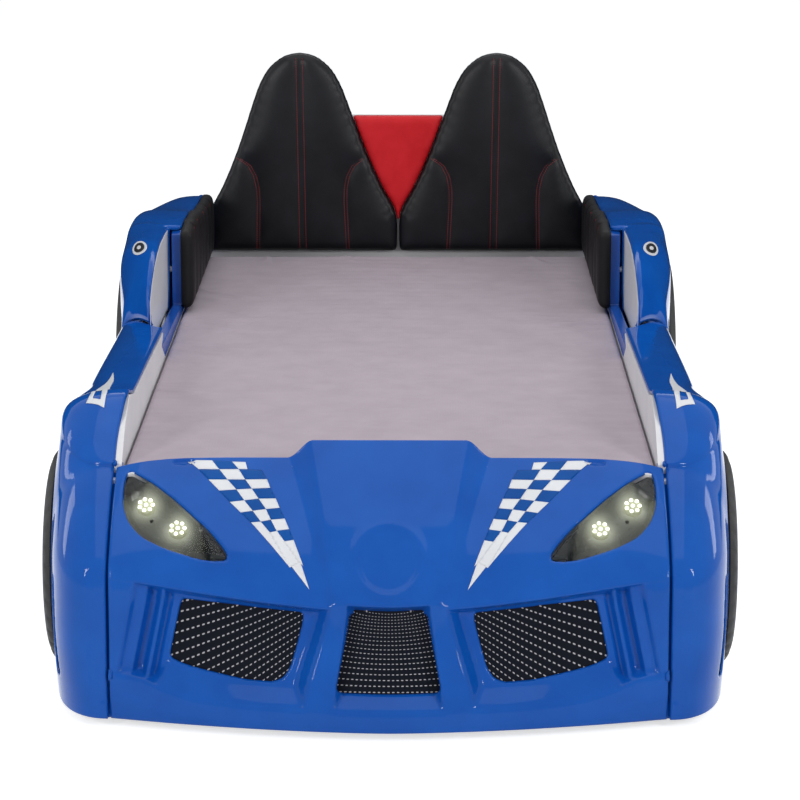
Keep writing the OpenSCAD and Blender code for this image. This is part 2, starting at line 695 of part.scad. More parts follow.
module left_lamp_lens() left_side() lamp_lens();
module right_led_pucks() right_side() led_pucks();
module left_led_pucks() left_side() led_pucks();

// ---- Wheels: drawn round +Z and turned so that +Z points out of the bed

spacer_r = 50;
rim_back = 8;
rim_wall = 14;
rim_hub = 52;
rim_t = 34;
bolt_spread = 36;
bolt_head = 4;
// Each rear wheel's bolts lie one above the other, clear of the ledgers
module wheel_place(side, y, z, x = 0)
    translate([side * x, y, z]) rotate([0, side * 90, 0]) rotate(y > 0 ? 90 : 0) children();
module bolt_pair() for (s = [-1, 1]) translate([0, s * bolt_spread, 0]) children();
module tyre(r) color(black) {
    lip = 10;
    bead = rim_share * r + fit;
    rotate_extrude($fn = 96) polygon([
        [bead, 0], [r - lip, 0], [r, lip], [r, tyre_w - lip - 4], [r - lip, tyre_w - 1],
        [mix(bead, r, 0.5), tyre_w], [bead + 4, tyre_w - 3], [bead, tyre_w - 8]
    ]);
}
module rim(r) color("#8d9297") {
    rr = rim_share * r;
    difference() {
        union() {
            rotate_extrude($fn = 96) polygon([
                [0, 0], [rr, 0], [rr, rim_t + 10], [rr - rim_wall, rim_t + 10],
                [rr - rim_wall, rim_back], [rim_hub, rim_back], [rim_hub, rim_t], [0, rim_t]
            ]);
            spokes(rr);
        }
        bolt_pair() cylinder(r = wheel_bolt_r + fit, h = deep, center = true);
    }
}
module spokes(rr) for (i = [0:spoke_count - 1]) rotate(360 * i / spoke_count)
    translate([0, 0, rim_back / 2]) linear_extrude(rim_t - rim_back)
    polygon([[rim_hub - 4, -22], [rr - rim_wall / 2, -16], [rr - rim_wall / 2, 16], [rim_hub - 4, 22]]);
module hub_cap() color("#c9ccd0") rotate_extrude($fn = 64) polygon([
    [0, rim_t + fit], [46, rim_t + fit], [46, rim_t + 6], [40, rim_t + 10],
    [24, rim_t + 13], [0, rim_t + 14]
]);
module front_left_tyre() wheel_place(-1, front_wheel_y, front_wheel_z, tyre_x) tyre(front_wheel_r);
module front_right_tyre() wheel_place(1, front_wheel_y, front_wheel_z, tyre_x) tyre(front_wheel_r);
module rear_left_tyre() wheel_place(-1, rear_wheel_y, rear_wheel_z, tyre_x) tyre(rear_wheel_r);
module rear_right_tyre() wheel_place(1, rear_wheel_y, rear_wheel_z, tyre_x) tyre(rear_wheel_r);
module front_left_rim() wheel_place(-1, front_wheel_y, front_wheel_z, tyre_x) rim(front_wheel_r);
module front_right_rim() wheel_place(1, front_wheel_y, front_wheel_z, tyre_x) rim(front_wheel_r);
module rear_left_rim() wheel_place(-1, rear_wheel_y, rear_wheel_z, tyre_x) rim(rear_wheel_r);
module rear_right_rim() wheel_place(1, rear_wheel_y, rear_wheel_z, tyre_x) rim(rear_wheel_r);
module front_left_hub_cap() wheel_place(-1, front_wheel_y, front_wheel_z, tyre_x) hub_cap();
module front_right_hub_cap() wheel_place(1, front_wheel_y, front_wheel_z, tyre_x) hub_cap();
module rear_left_hub_cap() wheel_place(-1, rear_wheel_y, rear_wheel_z, tyre_x) hub_cap();
module rear_right_hub_cap() wheel_place(1, rear_wheel_y, rear_wheel_z, tyre_x) hub_cap();

module each_wheel() for (side = [-1, 1]) {
    wheel_place(side, front_wheel_y, front_wheel_z) children();
    wheel_place(side, rear_wheel_y, rear_wheel_z) children();
}
module wheel_spacers() color(wood) each_wheel() translate([0, 0, side_x]) difference() {
    cylinder(r = spacer_r, h = tyre_x - side_x);
    bolt_pair() cylinder(r = wheel_bolt_r + fit, h = deep, center = true);
}
module wheel_bolts() color(steel) each_wheel() translate([0, 0, in_x - bolt_head]) bolt_pair() {
    cylinder(r = wheel_bolt_r * 2, h = bolt_head);
    cylinder(r = wheel_bolt_r, h = tyre_x + rim_t - in_x + bolt_head);
}

// ---- Fixings

block_l = 90;
block_h = 45;
block_ys = [front_wheel_y + 260, seam_y - 117, seam_y + 230, tail_y - 190];
module shell_blocks() color(wood) for (side = [-1, 1], y = block_ys)
    translate([side * (side_x + block_w(y) / 2), y, board_z + 12 + block_h / 2])
    cube([block_w(y), block_l, block_h], center = true);
function block_w(y) = (y > seam_y ? hip_x(y + block_l / 2 + tail_r) : body_hw)
    - tuck - shell_t - side_x;
spacer_z = sleep_z + 87;
module guard_spacers() color(white) for (side = [-1, 1])
    translate([side * (in_x + guard_t), guard_y + 14, spacer_z])
    rotate([0, side * 90, 0]) cylinder(r = 6, h = slit_x - in_x - guard_t);

bracket_l = 45;
bracket_t = 3;
screw_r = 2;
screw_at = 27;
module each_bracket() for (side = [-1, 1], end = [0, 1])
    translate([side * in_x, end == 0 ? foot_board_y + board_t : head_board_y, 120])
    scale([-side, end == 0 ? 1 : -1, 1]) children();
module corner_brackets() color(steel) each_bracket() difference() {
    union() {
        cube([bracket_l, bracket_t, bracket_l]);
        cube([bracket_t, bracket_l, bracket_l]);
    }
    bracket_holes(screw_r + 0.1);
}
module bracket_holes(r) {
    translate([screw_at, -1, bracket_l / 2]) rotate([-90, 0, 0]) cylinder(r = r, h = 10);
    translate([-1, screw_at, bracket_l / 2]) rotate([0, 90, 0]) cylinder(r = r, h = 10);
}
module bracket_screws() color(steel) each_bracket() {
    translate([screw_at, 0, bracket_l / 2]) rotate([-90, 0, 0]) bracket_screw();
    translate([0, screw_at, bracket_l / 2]) rotate([0, 90, 0]) bracket_screw();
}
module bracket_screw() {
    cylinder(r = screw_r, h = bracket_t);
    translate([0, 0, bracket_t]) cylinder(r = screw_r * 2, h = 2);
}
glide_r = 11;
module floor_glides() color(black) {
    for (side = [-1, 1], k = [0:4])
        translate([side * (in_x + board_t / 2), mix(foot_board_y + 40, head_board_y - 40, k / 4), 0])
        cylinder(r = min(glide_r, board_t / 2), h = board_z);
    for (side = [-1, 1]) translate([side * 200, head_board_y + board_t / 2, 0])
        cylinder(r = min(glide_r, board_t / 2), h = board_z);
}

// ---- Switch box let into the headboard from behind, and the lamps' cables

box_x = 330;
box_z = 150;
box_back = head_board_y + board_t;    // face of the headboard that it lies on
bezel_t = 3;
bezel_rim = 8;
inlet_x = -26;
button_x = 14;
button_proud = button_travel + 0.5;
button_flange = 3;
module box_place() translate([box_x, box_back, box_z]) rotate([-90, 0, 0]) children();
module box_block(w, h, from_z, to_z)
    translate([-w / 2, -h / 2, from_z]) cube([w, h, to_z - from_z]);
module switch_box() color(black) box_place() difference() {
    union() {
        difference() {
            union() {
                box_block(box_w, box_h, -box_d, 0);
                box_block(box_w + 2 * bezel_rim, box_h + 2 * bezel_rim, 0, bezel_t);
            }
            box_block(box_w - 2 * box_wall, box_h - 2 * box_wall, -box_d + box_wall, 0);
        }
        translate([inlet_x, 0, -inlet_l + bezel_t - box_wall])
            cylinder(r = inlet_r + 3, h = inlet_l);
    }
    translate([inlet_x, 0, bezel_t - inlet_l]) cylinder(r = inlet_r, h = inlet_l + 1);
    translate([button_x, 0, -1]) cylinder(r = button_r + slide_fit, h = bezel_t + 2);
}
module power_button() color("#c62128") box_place() translate([button_x, 0, 0]) {
    translate([0, 0, -fit - button_flange])
        cylinder(r = button_r, h = bezel_t + button_proud + fit + button_flange);
    translate([0, 0, -fit - button_flange]) cylinder(r = button_r + 3, h = button_flange);
}

// Each cable runs from the box along the boards into the nose and up to its lamp
cable_z = 100;
cable_x = in_x - cable_r - 1.6;
cable_sides = 8;
pass_x = in_x - 21;
pass_r = 6;
lamp_x = pass_x - 36;                 // where a cable enters its lamp's tub
lamp_in_y = foot_board_y - 60;
function cable_nose(side) = [
    [side * cable_x, foot_y + 15, cable_z], [side * pass_x, foot_y - 1, cable_z],
    [side * pass_x, foot_board_y - 16, cable_z], [side * (pass_x - 16), foot_board_y - 34, 140],
    [side * (lamp_x + 2), lamp_in_y + 2, 270],
    [side * lamp_x, lamp_in_y, tub_z(lamp_x, lamp_in_y) - lamp_wall / 2]
];
function cable_route(side, start_x, y) = concat(
    [[start_x, box_back - box_d, box_z], [start_x, y, box_z], [start_x, y, cable_z],
     [side * (cable_x - 22), y, cable_z], [side * cable_x, y - 22, cable_z]],
    cable_nose(side)
);
module tube(route, r) {
    n = len(route);
    way = [for (i = [0:n - 1]) unit(route[min(i + 1, n - 1)] - route[max(i - 1, 0)])];
    rings = [
        for (i = [0:n - 1])
            let (a = unit(cross(way[i], abs(way[i].z) > 0.9 ? [0, 1, 0] : [0, 0, 1])),
                 b = cross(a, way[i]))
            [for (k = [0:cable_sides - 1])
                route[i] + r * (cos(360 * k / cable_sides) * a + sin(360 * k / cable_sides) * b)]
    ];
    m = cable_sides;
    walls = [
        for (i = [0:n - 2], k = [0:m - 1], half = [0, 1])
            let (p = i * m + k, q = i * m + (k + 1) % m)
            half == 0 ? [p, q, q + m] : [p, q + m, p + m]
    ];
    polyhedron(
        flat_list(rings),
        concat(walls, [[for (k = [m - 1:-1:0]) k]], [[for (k = [0:m - 1]) (n - 1) * m + k]])
    );
}
module lamp_cables() color(black) {
    tube(cable_route(1, box_x + 20, head_board_y - 41), cable_r);
    tube(cable_route(-1, box_x - 20, head_board_y - 53), cable_r);
}
clip_count = 6;
clip_l = 10;
module cable_clips() color(white) for (side = [-1, 1], k = [0:clip_count - 1])
    translate([side * in_x, mix(foot_y + 90, head_y - 120, k / (clip_count - 1)), cable_z])
    scale([-side, 1, 1]) difference() {
        translate([0, 0, -7]) cube([2 * cable_r + 3.4, clip_l, 14]);
        translate([in_x - cable_x, -1, 0]) rotate([-90, 0, 0])
            cylinder(r = cable_r + fit, h = clip_l + 2);
    }

front_shell();
left_side_shell();
right_side_shell();
left_rear_quarter();
right_rear_quarter();
left_side_board();
right_side_board();
foot_board();
head_board();
left_guard_board();
right_guard_board();
left_guard_pad();
right_guard_pad();
left_seat_pad();
right_seat_pad();
red_centre_pad();
mattress();
slats();
left_slat_ledger();
right_slat_ledger();
centre_beam();
centre_legs();
left_grille();
centre_grille();
right_grille();
left_corner_vent();
right_corner_vent();
left_lamp_housing();
right_lamp_housing();
left_lamp_lens();
right_lamp_lens();
left_led_pucks();
right_led_pucks();
front_left_tyre();
front_right_tyre();
rear_left_tyre();
rear_right_tyre();
front_left_rim();
front_right_rim();
rear_left_rim();
rear_right_rim();
front_left_hub_cap();
front_right_hub_cap();
rear_left_hub_cap();
rear_right_hub_cap();
wheel_spacers();
wheel_bolts();
shell_blocks();
guard_spacers();
corner_brackets();
bracket_screws();
floor_glides();
switch_box();
power_button();
lamp_cables();
cable_clips();
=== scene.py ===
# Racing-car bed for a toddler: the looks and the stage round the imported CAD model.
# The nose points along -Y. Shapes are made in millimetres, and finishPiece puts them in metres.
import math

import bmesh
import bpy
import numpy as np
from mathutils import Matrix, Vector
from mathutils.bvhtree import BVHTree


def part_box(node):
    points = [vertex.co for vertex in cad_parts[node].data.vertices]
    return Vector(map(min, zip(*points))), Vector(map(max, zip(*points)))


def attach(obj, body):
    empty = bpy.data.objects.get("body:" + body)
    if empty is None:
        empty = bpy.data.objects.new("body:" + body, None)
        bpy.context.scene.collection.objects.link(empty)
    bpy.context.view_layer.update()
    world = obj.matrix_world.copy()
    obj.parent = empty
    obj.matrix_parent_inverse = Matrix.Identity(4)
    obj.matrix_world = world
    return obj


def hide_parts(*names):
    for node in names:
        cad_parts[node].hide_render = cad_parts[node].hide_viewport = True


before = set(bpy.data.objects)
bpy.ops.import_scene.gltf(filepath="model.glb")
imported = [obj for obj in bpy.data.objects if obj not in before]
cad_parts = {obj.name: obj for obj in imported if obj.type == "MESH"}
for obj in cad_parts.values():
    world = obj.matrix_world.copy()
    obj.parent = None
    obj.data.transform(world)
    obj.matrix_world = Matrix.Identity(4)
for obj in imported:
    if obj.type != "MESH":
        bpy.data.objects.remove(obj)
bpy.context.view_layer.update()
scene = bpy.context.scene
print("frame loaded with", len(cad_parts), "CAD nodes")


def lowOf(node):
    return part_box(node)[0] * 1000


def highOf(node):
    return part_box(node)[1] * 1000


# Main places, read from the CAD
noseY = lowOf("front_shell").y
tailY = -noseY
sleepZ = highOf("mattress").z
hoodY = highOf("front_shell").y
skirtZ = lowOf("front_shell").z
inX = lowOf("right_side_board").x
sideX = highOf("right_side_board").x
bodyHw = highOf("right_side_shell").x
noseHw = highOf("front_shell").x
headY = lowOf("head_board").y


# Camera, light and floor
view = dict(x=0.049, y=-5.585, z=1.68, pitch=13.82, yaw=0.382, lens=128.97)
cameraData = bpy.data.cameras.new("camera")
cameraData.lens = view["lens"]
cameraData.sensor_width = 36
camera = bpy.data.objects.new("camera", cameraData)
camera.location = (view["x"], view["y"], view["z"])
camera.rotation_euler = (math.radians(90 - view["pitch"]), 0, math.radians(view["yaw"]))
scene.collection.objects.link(camera)
scene.camera = camera
scene.view_settings.view_transform = "Standard"

softBoxes = [
    # name, place, aims at, width, height, watts
    ("overhead", (0.0, -0.4, 3.2), (0.0, -0.1, 0.3), 2.6, 3.4, 32),
    ("leftFront", (-2.3, -3.6, 1.8), (-0.2, -0.7, 0.3), 0.35, 1.2, 38),
    ("rightFront", (2.3, -3.4, 1.9), (0.2, -0.7, 0.3), 0.35, 1.2, 40),
    ("leftSide", (-3.0, 0.2, 1.6), (-0.4, -0.2, 0.3), 0.5, 1.6, 14),
    ("rightSide", (3.0, 0.2, 1.6), (0.4, -0.2, 0.3), 0.5, 1.6, 18),
    ("behind", (0.0, 3.0, 2.2), (0.0, 0.4, 0.4), 2.4, 1.4, 14),
]
for name, place, target, width, height, watts in softBoxes:
    lampData = bpy.data.lights.new(name, "AREA")
    lampData.shape = "RECTANGLE"
    lampData.size = width
    lampData.size_y = height
    lampData.energy = watts
    lamp = bpy.data.objects.new(name, lampData)
    lamp.location = place
    aim = Vector(target) - Vector(place)
    lamp.rotation_euler = aim.to_track_quat("-Z", "Y").to_euler()
    scene.collection.objects.link(lamp)


def linear(hexColour):
    parts = [int(hexColour[i : i + 2], 16) / 255 for i in (1, 3, 5)]
    return [c / 12.92 if c <= 0.04045 else ((c + 0.055) / 1.055) ** 2.4 for c in parts] + [1.0]


# Adds a node with its settings; an input that is a socket is linked, any other is set
def addNode(tree, kind, inputs=None, **settings):
    node = tree.nodes.new(kind)
    for name, value in settings.items():
        if name == "stops":
            while len(node.color_ramp.elements) < len(value):
                node.color_ramp.elements.new(0.5)
            for stop, (at, colour) in zip(node.color_ramp.elements, value):
                stop.position = at
                stop.color = linear(colour) if isinstance(colour, str) else (colour, colour, colour, 1)
        else:
            setattr(node, name, value)
    for name, value in (inputs or {}).items():
        if isinstance(value, bpy.types.NodeSocket):
            tree.links.new(value, node.inputs[name])
        else:
            node.inputs[name].default_value = value
    return node


# One where the camera looks, straight or by way of a gloss or a lens, and nothing for plain light
def seenRays(tree):
    path = addNode(tree, "ShaderNodeLightPath")
    direct = addNode(
        tree, "ShaderNodeMath", {0: path.outputs["Is Camera Ray"], 1: path.outputs["Is Transmission Ray"]},
        operation="MAXIMUM",
    )
    return addNode(
        tree, "ShaderNodeMath", {0: direct.outputs[0], 1: path.outputs["Is Glossy Ray"]},
        operation="MAXIMUM",
    ).outputs[0]


world = bpy.data.worlds.new("studio")
world.use_nodes = True
scene.world = world
sky = world.node_tree
sky.nodes.clear()
roomLight = addNode(sky, "ShaderNodeBackground", {"Color": linear("#f4f6f8"), "Strength": 0.42})
backdrop = addNode(sky, "ShaderNodeBackground", {"Color": (1, 1, 1, 1), "Strength": 1.0})
skyMix = addNode(
    sky, "ShaderNodeMixShader", {0: seenRays(sky), 1: roomLight.outputs[0], 2: backdrop.outputs[0]},
)
addNode(sky, "ShaderNodeOutputWorld", {"Surface": skyMix.outputs[0]})

# Pale floor that keeps the bed's shadow: painted white, and it never shows its own edge
floorPaint = bpy.data.materials.new("floorPaint")
floorPaint.use_nodes = True
floorTree = floorPaint.node_tree
floorTree.nodes.clear()
floorShade = addNode(floorTree, "ShaderNodeBsdfDiffuse", {"Color": linear("#f2f3f4")})
floorGlow = addNode(floorTree, "ShaderNodeEmission", {"Color": (1, 1, 1, 1), "Strength": 0.66})
floorSum = addNode(floorTree, "ShaderNodeAddShader", {0: floorShade.outputs[0], 1: floorGlow.outputs[0]})
floorMix = addNode(
    floorTree, "ShaderNodeMixShader",
    {0: seenRays(floorTree), 1: floorShade.outputs[0], 2: floorSum.outputs[0]},
)
addNode(floorTree, "ShaderNodeOutputMaterial", {"Surface": floorMix.outputs[0]})
floorShape = bmesh.new()
bmesh.ops.create_grid(floorShape, x_segments=1, y_segments=1, size=30)
floorMesh = bpy.data.meshes.new("floor")
floorShape.to_mesh(floorMesh)
floorShape.free()
floor = bpy.data.objects.new("floor", floorMesh)
floorMesh.materials.append(floorPaint)
scene.collection.objects.link(floor)

# Dark card that stands behind the bed. Only glossy rays see it, and there it hides the white
# room from them, so the gloss mirrors a dark band that the camera doesn't show
studioCard = dict(behind=3, halfWidth=4.5, halfHeight=1.25)
cardPlace = Matrix.Translation((0, studioCard["behind"], studioCard["halfHeight"]))
cardPlace = cardPlace @ Matrix.Rotation(math.pi / 2, 4, "X")
cardPlace = cardPlace @ Matrix.Diagonal((studioCard["halfWidth"], studioCard["halfHeight"], 1, 1))
cardShape = bmesh.new()
bmesh.ops.create_grid(cardShape, x_segments=1, y_segments=1, size=1, matrix=cardPlace)
cardMesh = bpy.data.meshes.new("darkCard")
cardShape.to_mesh(cardMesh)
cardShape.free()
cardPaint = bpy.data.materials.new("darkCardPaint")
cardPaint.use_nodes = True
cardPaint.node_tree.nodes.clear()
cardShade = addNode(cardPaint.node_tree, "ShaderNodeBsdfDiffuse", {"Color": linear("#2b3540")})
addNode(cardPaint.node_tree, "ShaderNodeOutputMaterial", {"Surface": cardShade.outputs[0]})
cardMesh.materials.append(cardPaint)
card = bpy.data.objects.new("darkCard", cardMesh)
scene.collection.objects.link(card)
card.visible_camera = card.visible_diffuse = False
card.visible_shadow = card.visible_transmission = False
print("camera, light and floor made")


# Materials
def newMaterial(name, **constants):
    material = bpy.data.materials.new(name)
    material.use_nodes = True
    tree = material.node_tree
    tree.nodes.clear()
    shader = addNode(tree, "ShaderNodeBsdfPrincipled")
    for socket, value in constants.items():
        shader.inputs[socket.replace("_", " ")].default_value = value
    addNode(tree, "ShaderNodeOutputMaterial", {"Surface": shader.outputs[0]})
    places = addNode(tree, "ShaderNodeTexCoord").outputs["Object"]
    return material, tree, shader, places


# Colour that drifts between two tones over patches of the given size in metres
def driftColour(tree, shader, places, dark, light, size, detail=3):
    noise = addNode(
        tree, "ShaderNodeTexNoise",
        {"Vector": places, "Scale": 1 / size, "Detail": detail, "Roughness": 0.55},
    )
    ramp = addNode(
        tree, "ShaderNodeValToRGB", {"Fac": noise.outputs["Fac"]}, stops=[(0.3, dark), (0.7, light)],
    )
    tree.links.new(ramp.outputs["Color"], shader.inputs["Base Color"])
    return ramp


def addBump(tree, shader, height, strength, distance):
    bump = addNode(tree, "ShaderNodeBump", {"Height": height, "Strength": strength, "Distance": distance})
    tree.links.new(bump.outputs["Normal"], shader.inputs["Normal"])
    return bump


# Moulded plastics: the noise is the faint ripple that the mould and the cooling leave
def mouldedPlastic(name, dark, light, roughness, ripple=0.012, depth=0.00008, **more):
    material, tree, shader, places = newMaterial(name, Roughness=roughness, IOR=1.5, **more)
    driftColour(tree, shader, places, dark, light, 0.09)
    noise = addNode(tree, "ShaderNodeTexNoise", {"Vector": places, "Scale": 1 / ripple, "Detail": 2})
    addBump(tree, shader, noise.outputs["Fac"], 0.5, depth)
    return material


# Thermoformed acrylic-capped ABS: deep gloss, clear reflections, a hint of orange peel. Its
# specular level is set well under the usual 0.5, so that the blue stays deep at a grazing view
blueShell = mouldedPlastic(
    "blueGlossAbs", "#0a4ea6", "#0e56b0", 0.05, 0.03, 0.00008, Specular_IOR_Level=0.15,
)
# Lacquered board: softer gloss than the moulded shells
blueBoard = mouldedPlastic("blueLacqueredBoard", "#0f4fae", "#1557b6", 0.22, 0.006, 0.00003)
# Melamine-faced particle board: satin white with a very fine pebble
whiteBoard = mouldedPlastic("whiteMelamineBoard", "#d9d9dc", "#e2e2e4", 0.38, 0.0015, 0.00003)
# Black ABS trim: satin, lightly grained
blackPlastic = mouldedPlastic("blackSatinAbs", "#121316", "#1a1b1f", 0.32, 0.0012, 0.00004)
whitePlastic = mouldedPlastic("whiteNylon", "#dcdcda", "#e6e6e4", 0.4, 0.002, 0.00003)
redPlastic = mouldedPlastic("redGlossAbs", "#b01d20", "#bf2226", 0.2, 0.004, 0.00003)
# PVC cable sheath: dull black
cableSheath = mouldedPlastic("blackPvcSheath", "#161719", "#1f2022", 0.5, 0.002, 0.00005)
# Moulded tyre: matt black that drifts a little in tone
tyreRubber = mouldedPlastic("blackMouldedRubber", "#101113", "#1b1c1e", 0.62, 0.0016, 0.0001)
# Silver lacquered ABS rims
rimSilver = mouldedPlastic("silverLacqueredAbs", "#85898f", "#979ba1", 0.3, 0.003, 0.00003, Metallic=0.75)
capSilver = mouldedPlastic("brightLacqueredAbs", "#a9adb3", "#b9bdc3", 0.2, 0.003, 0.00002, Metallic=0.85)
# Zinc-plated steel: cool grey with a patchy sheen
zincSteel = mouldedPlastic("zincPlatedSteel", "#8f9397", "#aeb2b6", 0.34, 0.004, 0.00003, Metallic=1.0)


# Leatherette: rolled PVC skin on foam. Real grain cells are about 1 mm, drawn 2.2 mm wide so
# that they show
def leatherette(name, dark, light, roughness):
    material, tree, shader, places = newMaterial(
        name, Roughness=roughness, IOR=1.48, Specular_IOR_Level=0.22,
    )
    driftColour(tree, shader, places, dark, light, 0.05)
    cells = addNode(
        tree, "ShaderNodeTexVoronoi", {"Vector": places, "Scale": 1 / 0.0022}, feature="DISTANCE_TO_EDGE",
    )
    creases = addNode(
        tree, "ShaderNodeTexNoise", {"Vector": places, "Scale": 1 / 0.03, "Detail": 4, "Roughness": 0.6},
    )
    both = addNode(
        tree, "ShaderNodeMath", {0: creases.outputs["Fac"], 1: 2.2, 2: cells.outputs["Distance"]},
        operation="MULTIPLY_ADD",
    )
    addBump(tree, shader, both.outputs[0], 0.35, 0.0004)
    return material


blackLeatherette = leatherette("blackLeatherette", "#0f1013", "#17181d", 0.34)
padLeatherette = leatherette("padLeatherette", "#0a0a0c", "#111114", 0.52)
redLeatherette = leatherette("redLeatherette", "#c3181f", "#d1222a", 0.4)
# Polyester sewing thread: bright red, dull
redThread = mouldedPlastic("redThread", "#8c1c24", "#a3232c", 0.6, 0.001, 0.00005)

# Cotton jersey: knitted wales about 1 mm apart, drawn at 2.4 mm so that they show
jerseySheet, tree, shader, places = newMaterial(
    "cottonJersey", Roughness=0.95, Specular_IOR_Level=0.1, Sheen_Weight=0.08, Sheen_Roughness=0.6,
)
driftColour(tree, shader, places, "#aa9ea8", "#b2a6b0", 0.06, 4)
wales = addNode(
    tree, "ShaderNodeTexWave",
    {"Vector": places, "Scale": 1 / 0.0024 / 6.28, "Distortion": 0.6, "Detail": 1}, bands_direction="X",
)
courses = addNode(
    tree, "ShaderNodeTexWave",
    {"Vector": places, "Scale": 1 / 0.0034 / 6.28, "Distortion": 0.6, "Detail": 1}, bands_direction="Y",
)
knit = addNode(
    tree, "ShaderNodeMath", {0: wales.outputs["Fac"], 1: courses.outputs["Fac"]}, operation="MULTIPLY",
)
addBump(tree, shader, knit.outputs[0], 0.25, 0.0005)

# Planed pine: growth rings about 3 mm apart run along each board
def pineWood(name, along):
    material, tree, shader, places = newMaterial(name, Roughness=0.55, IOR=1.45)
    stretch = {"X": (2, 40, 40), "Y": (40, 2, 40), "Z": (40, 40, 2)}[along]
    grain = addNode(tree, "ShaderNodeMapping", {"Vector": places, "Scale": stretch})
    noise = addNode(
        tree, "ShaderNodeTexNoise",
        {"Vector": grain.outputs[0], "Scale": 1.2, "Detail": 3, "Distortion": 0.8},
    )
    lines = addNode(tree, "ShaderNodeMath", {0: noise.outputs["Fac"], 1: 26.0}, operation="MULTIPLY")
    rings = addNode(tree, "ShaderNodeMath", {0: lines.outputs[0]}, operation="FRACT")
    ramp = addNode(
        tree, "ShaderNodeValToRGB", {"Fac": rings.outputs[0]},
        stops=[(0.0, "#dfc598"), (0.6, "#d3b483"), (0.93, "#bf9862"), (1.0, "#d9bd8f")],
    )
    tree.links.new(ramp.outputs["Color"], shader.inputs["Base Color"])
    addBump(tree, shader, rings.outputs[0], 0.15, 0.0003)
    return material


pineAcross = pineWood("planedPineAcross", "X")
pineAlong = pineWood("planedPineAlong", "Y")
pineUpright = pineWood("planedPineUpright", "Z")
print("materials made")


# Shared shape tools
def mix(a, b, t):
    return a + (b - a) * t


def ease(t):
    c = np.clip(t, 0, 1)
    return c * c * (3 - 2 * c)


def softMin(a, b, width):
    h = np.clip(0.5 + 0.5 * (b - a) / width, 0, 1)
    return mix(b, a, h) - width * h * (1 - h)


# Smooth line through sorted points that never overshoots between two of them
def smoothLine(points):
    xs, ys = np.array(points, float).T
    step = np.diff(xs)
    slope = np.diff(ys) / step
    inner = np.where(
        slope[:-1] * slope[1:] > 0, 2 * slope[:-1] * slope[1:] / (slope[:-1] + slope[1:] + 1e-12), 0,
    )
    tangent = np.concatenate([[slope[0]], inner, [slope[-1]]])

    def at(x):
        x = np.clip(x, xs[0], xs[-1])
        i = np.clip(np.searchsorted(xs, x, side="right") - 1, 0, len(step) - 1)
        t = (x - xs[i]) / step[i]
        rise = (ys[i + 1] - ys[i]) * t * t * (3 - 2 * t)
        return ys[i] + rise + step[i] * t * (1 - t) * (tangent[i] * (1 - t) - tangent[i + 1] * t)

    return at


# Closed outline with each corner rounded off
def roundCorners(points, radius, steps=6):
    line = []
    for i, corner in enumerate(points):
        corner = np.array(corner, float)
        before = np.array(points[i - 1], float) - corner
        after = np.array(points[(i + 1) % len(points)], float) - corner
        reach = min(radius, np.hypot(*before) * 0.45, np.hypot(*after) * 0.45)
        start = corner + before / np.hypot(*before) * reach
        end = corner + after / np.hypot(*after) * reach
        for k in range(steps + 1):
            t = k / steps
            line.append((1 - t) ** 2 * start + 2 * t * (1 - t) * corner + t * t * end)
    return np.array(line)


# Distance of points from a closed outline, negative inside it
def outlineGap(points, outline):
    nearest = np.full(len(points), 1e9)
    inside = np.zeros(len(points), bool)
    for a, b in zip(outline, np.roll(outline, -1, axis=0)):
        along = b - a
        if not along.any():
            continue
        share = np.clip(((points - a) @ along) / (along @ along), 0, 1)
        nearest = np.minimum(nearest, np.hypot(*(points - a - share[:, None] * along).T))
        level = (a[1] > points[:, 1]) != (b[1] > points[:, 1])
        if along[1]:
            inside ^= level & (points[:, 0] < a[0] + along[0] * (points[:, 1] - a[1]) / along[1])
    return np.where(inside, -nearest, nearest)


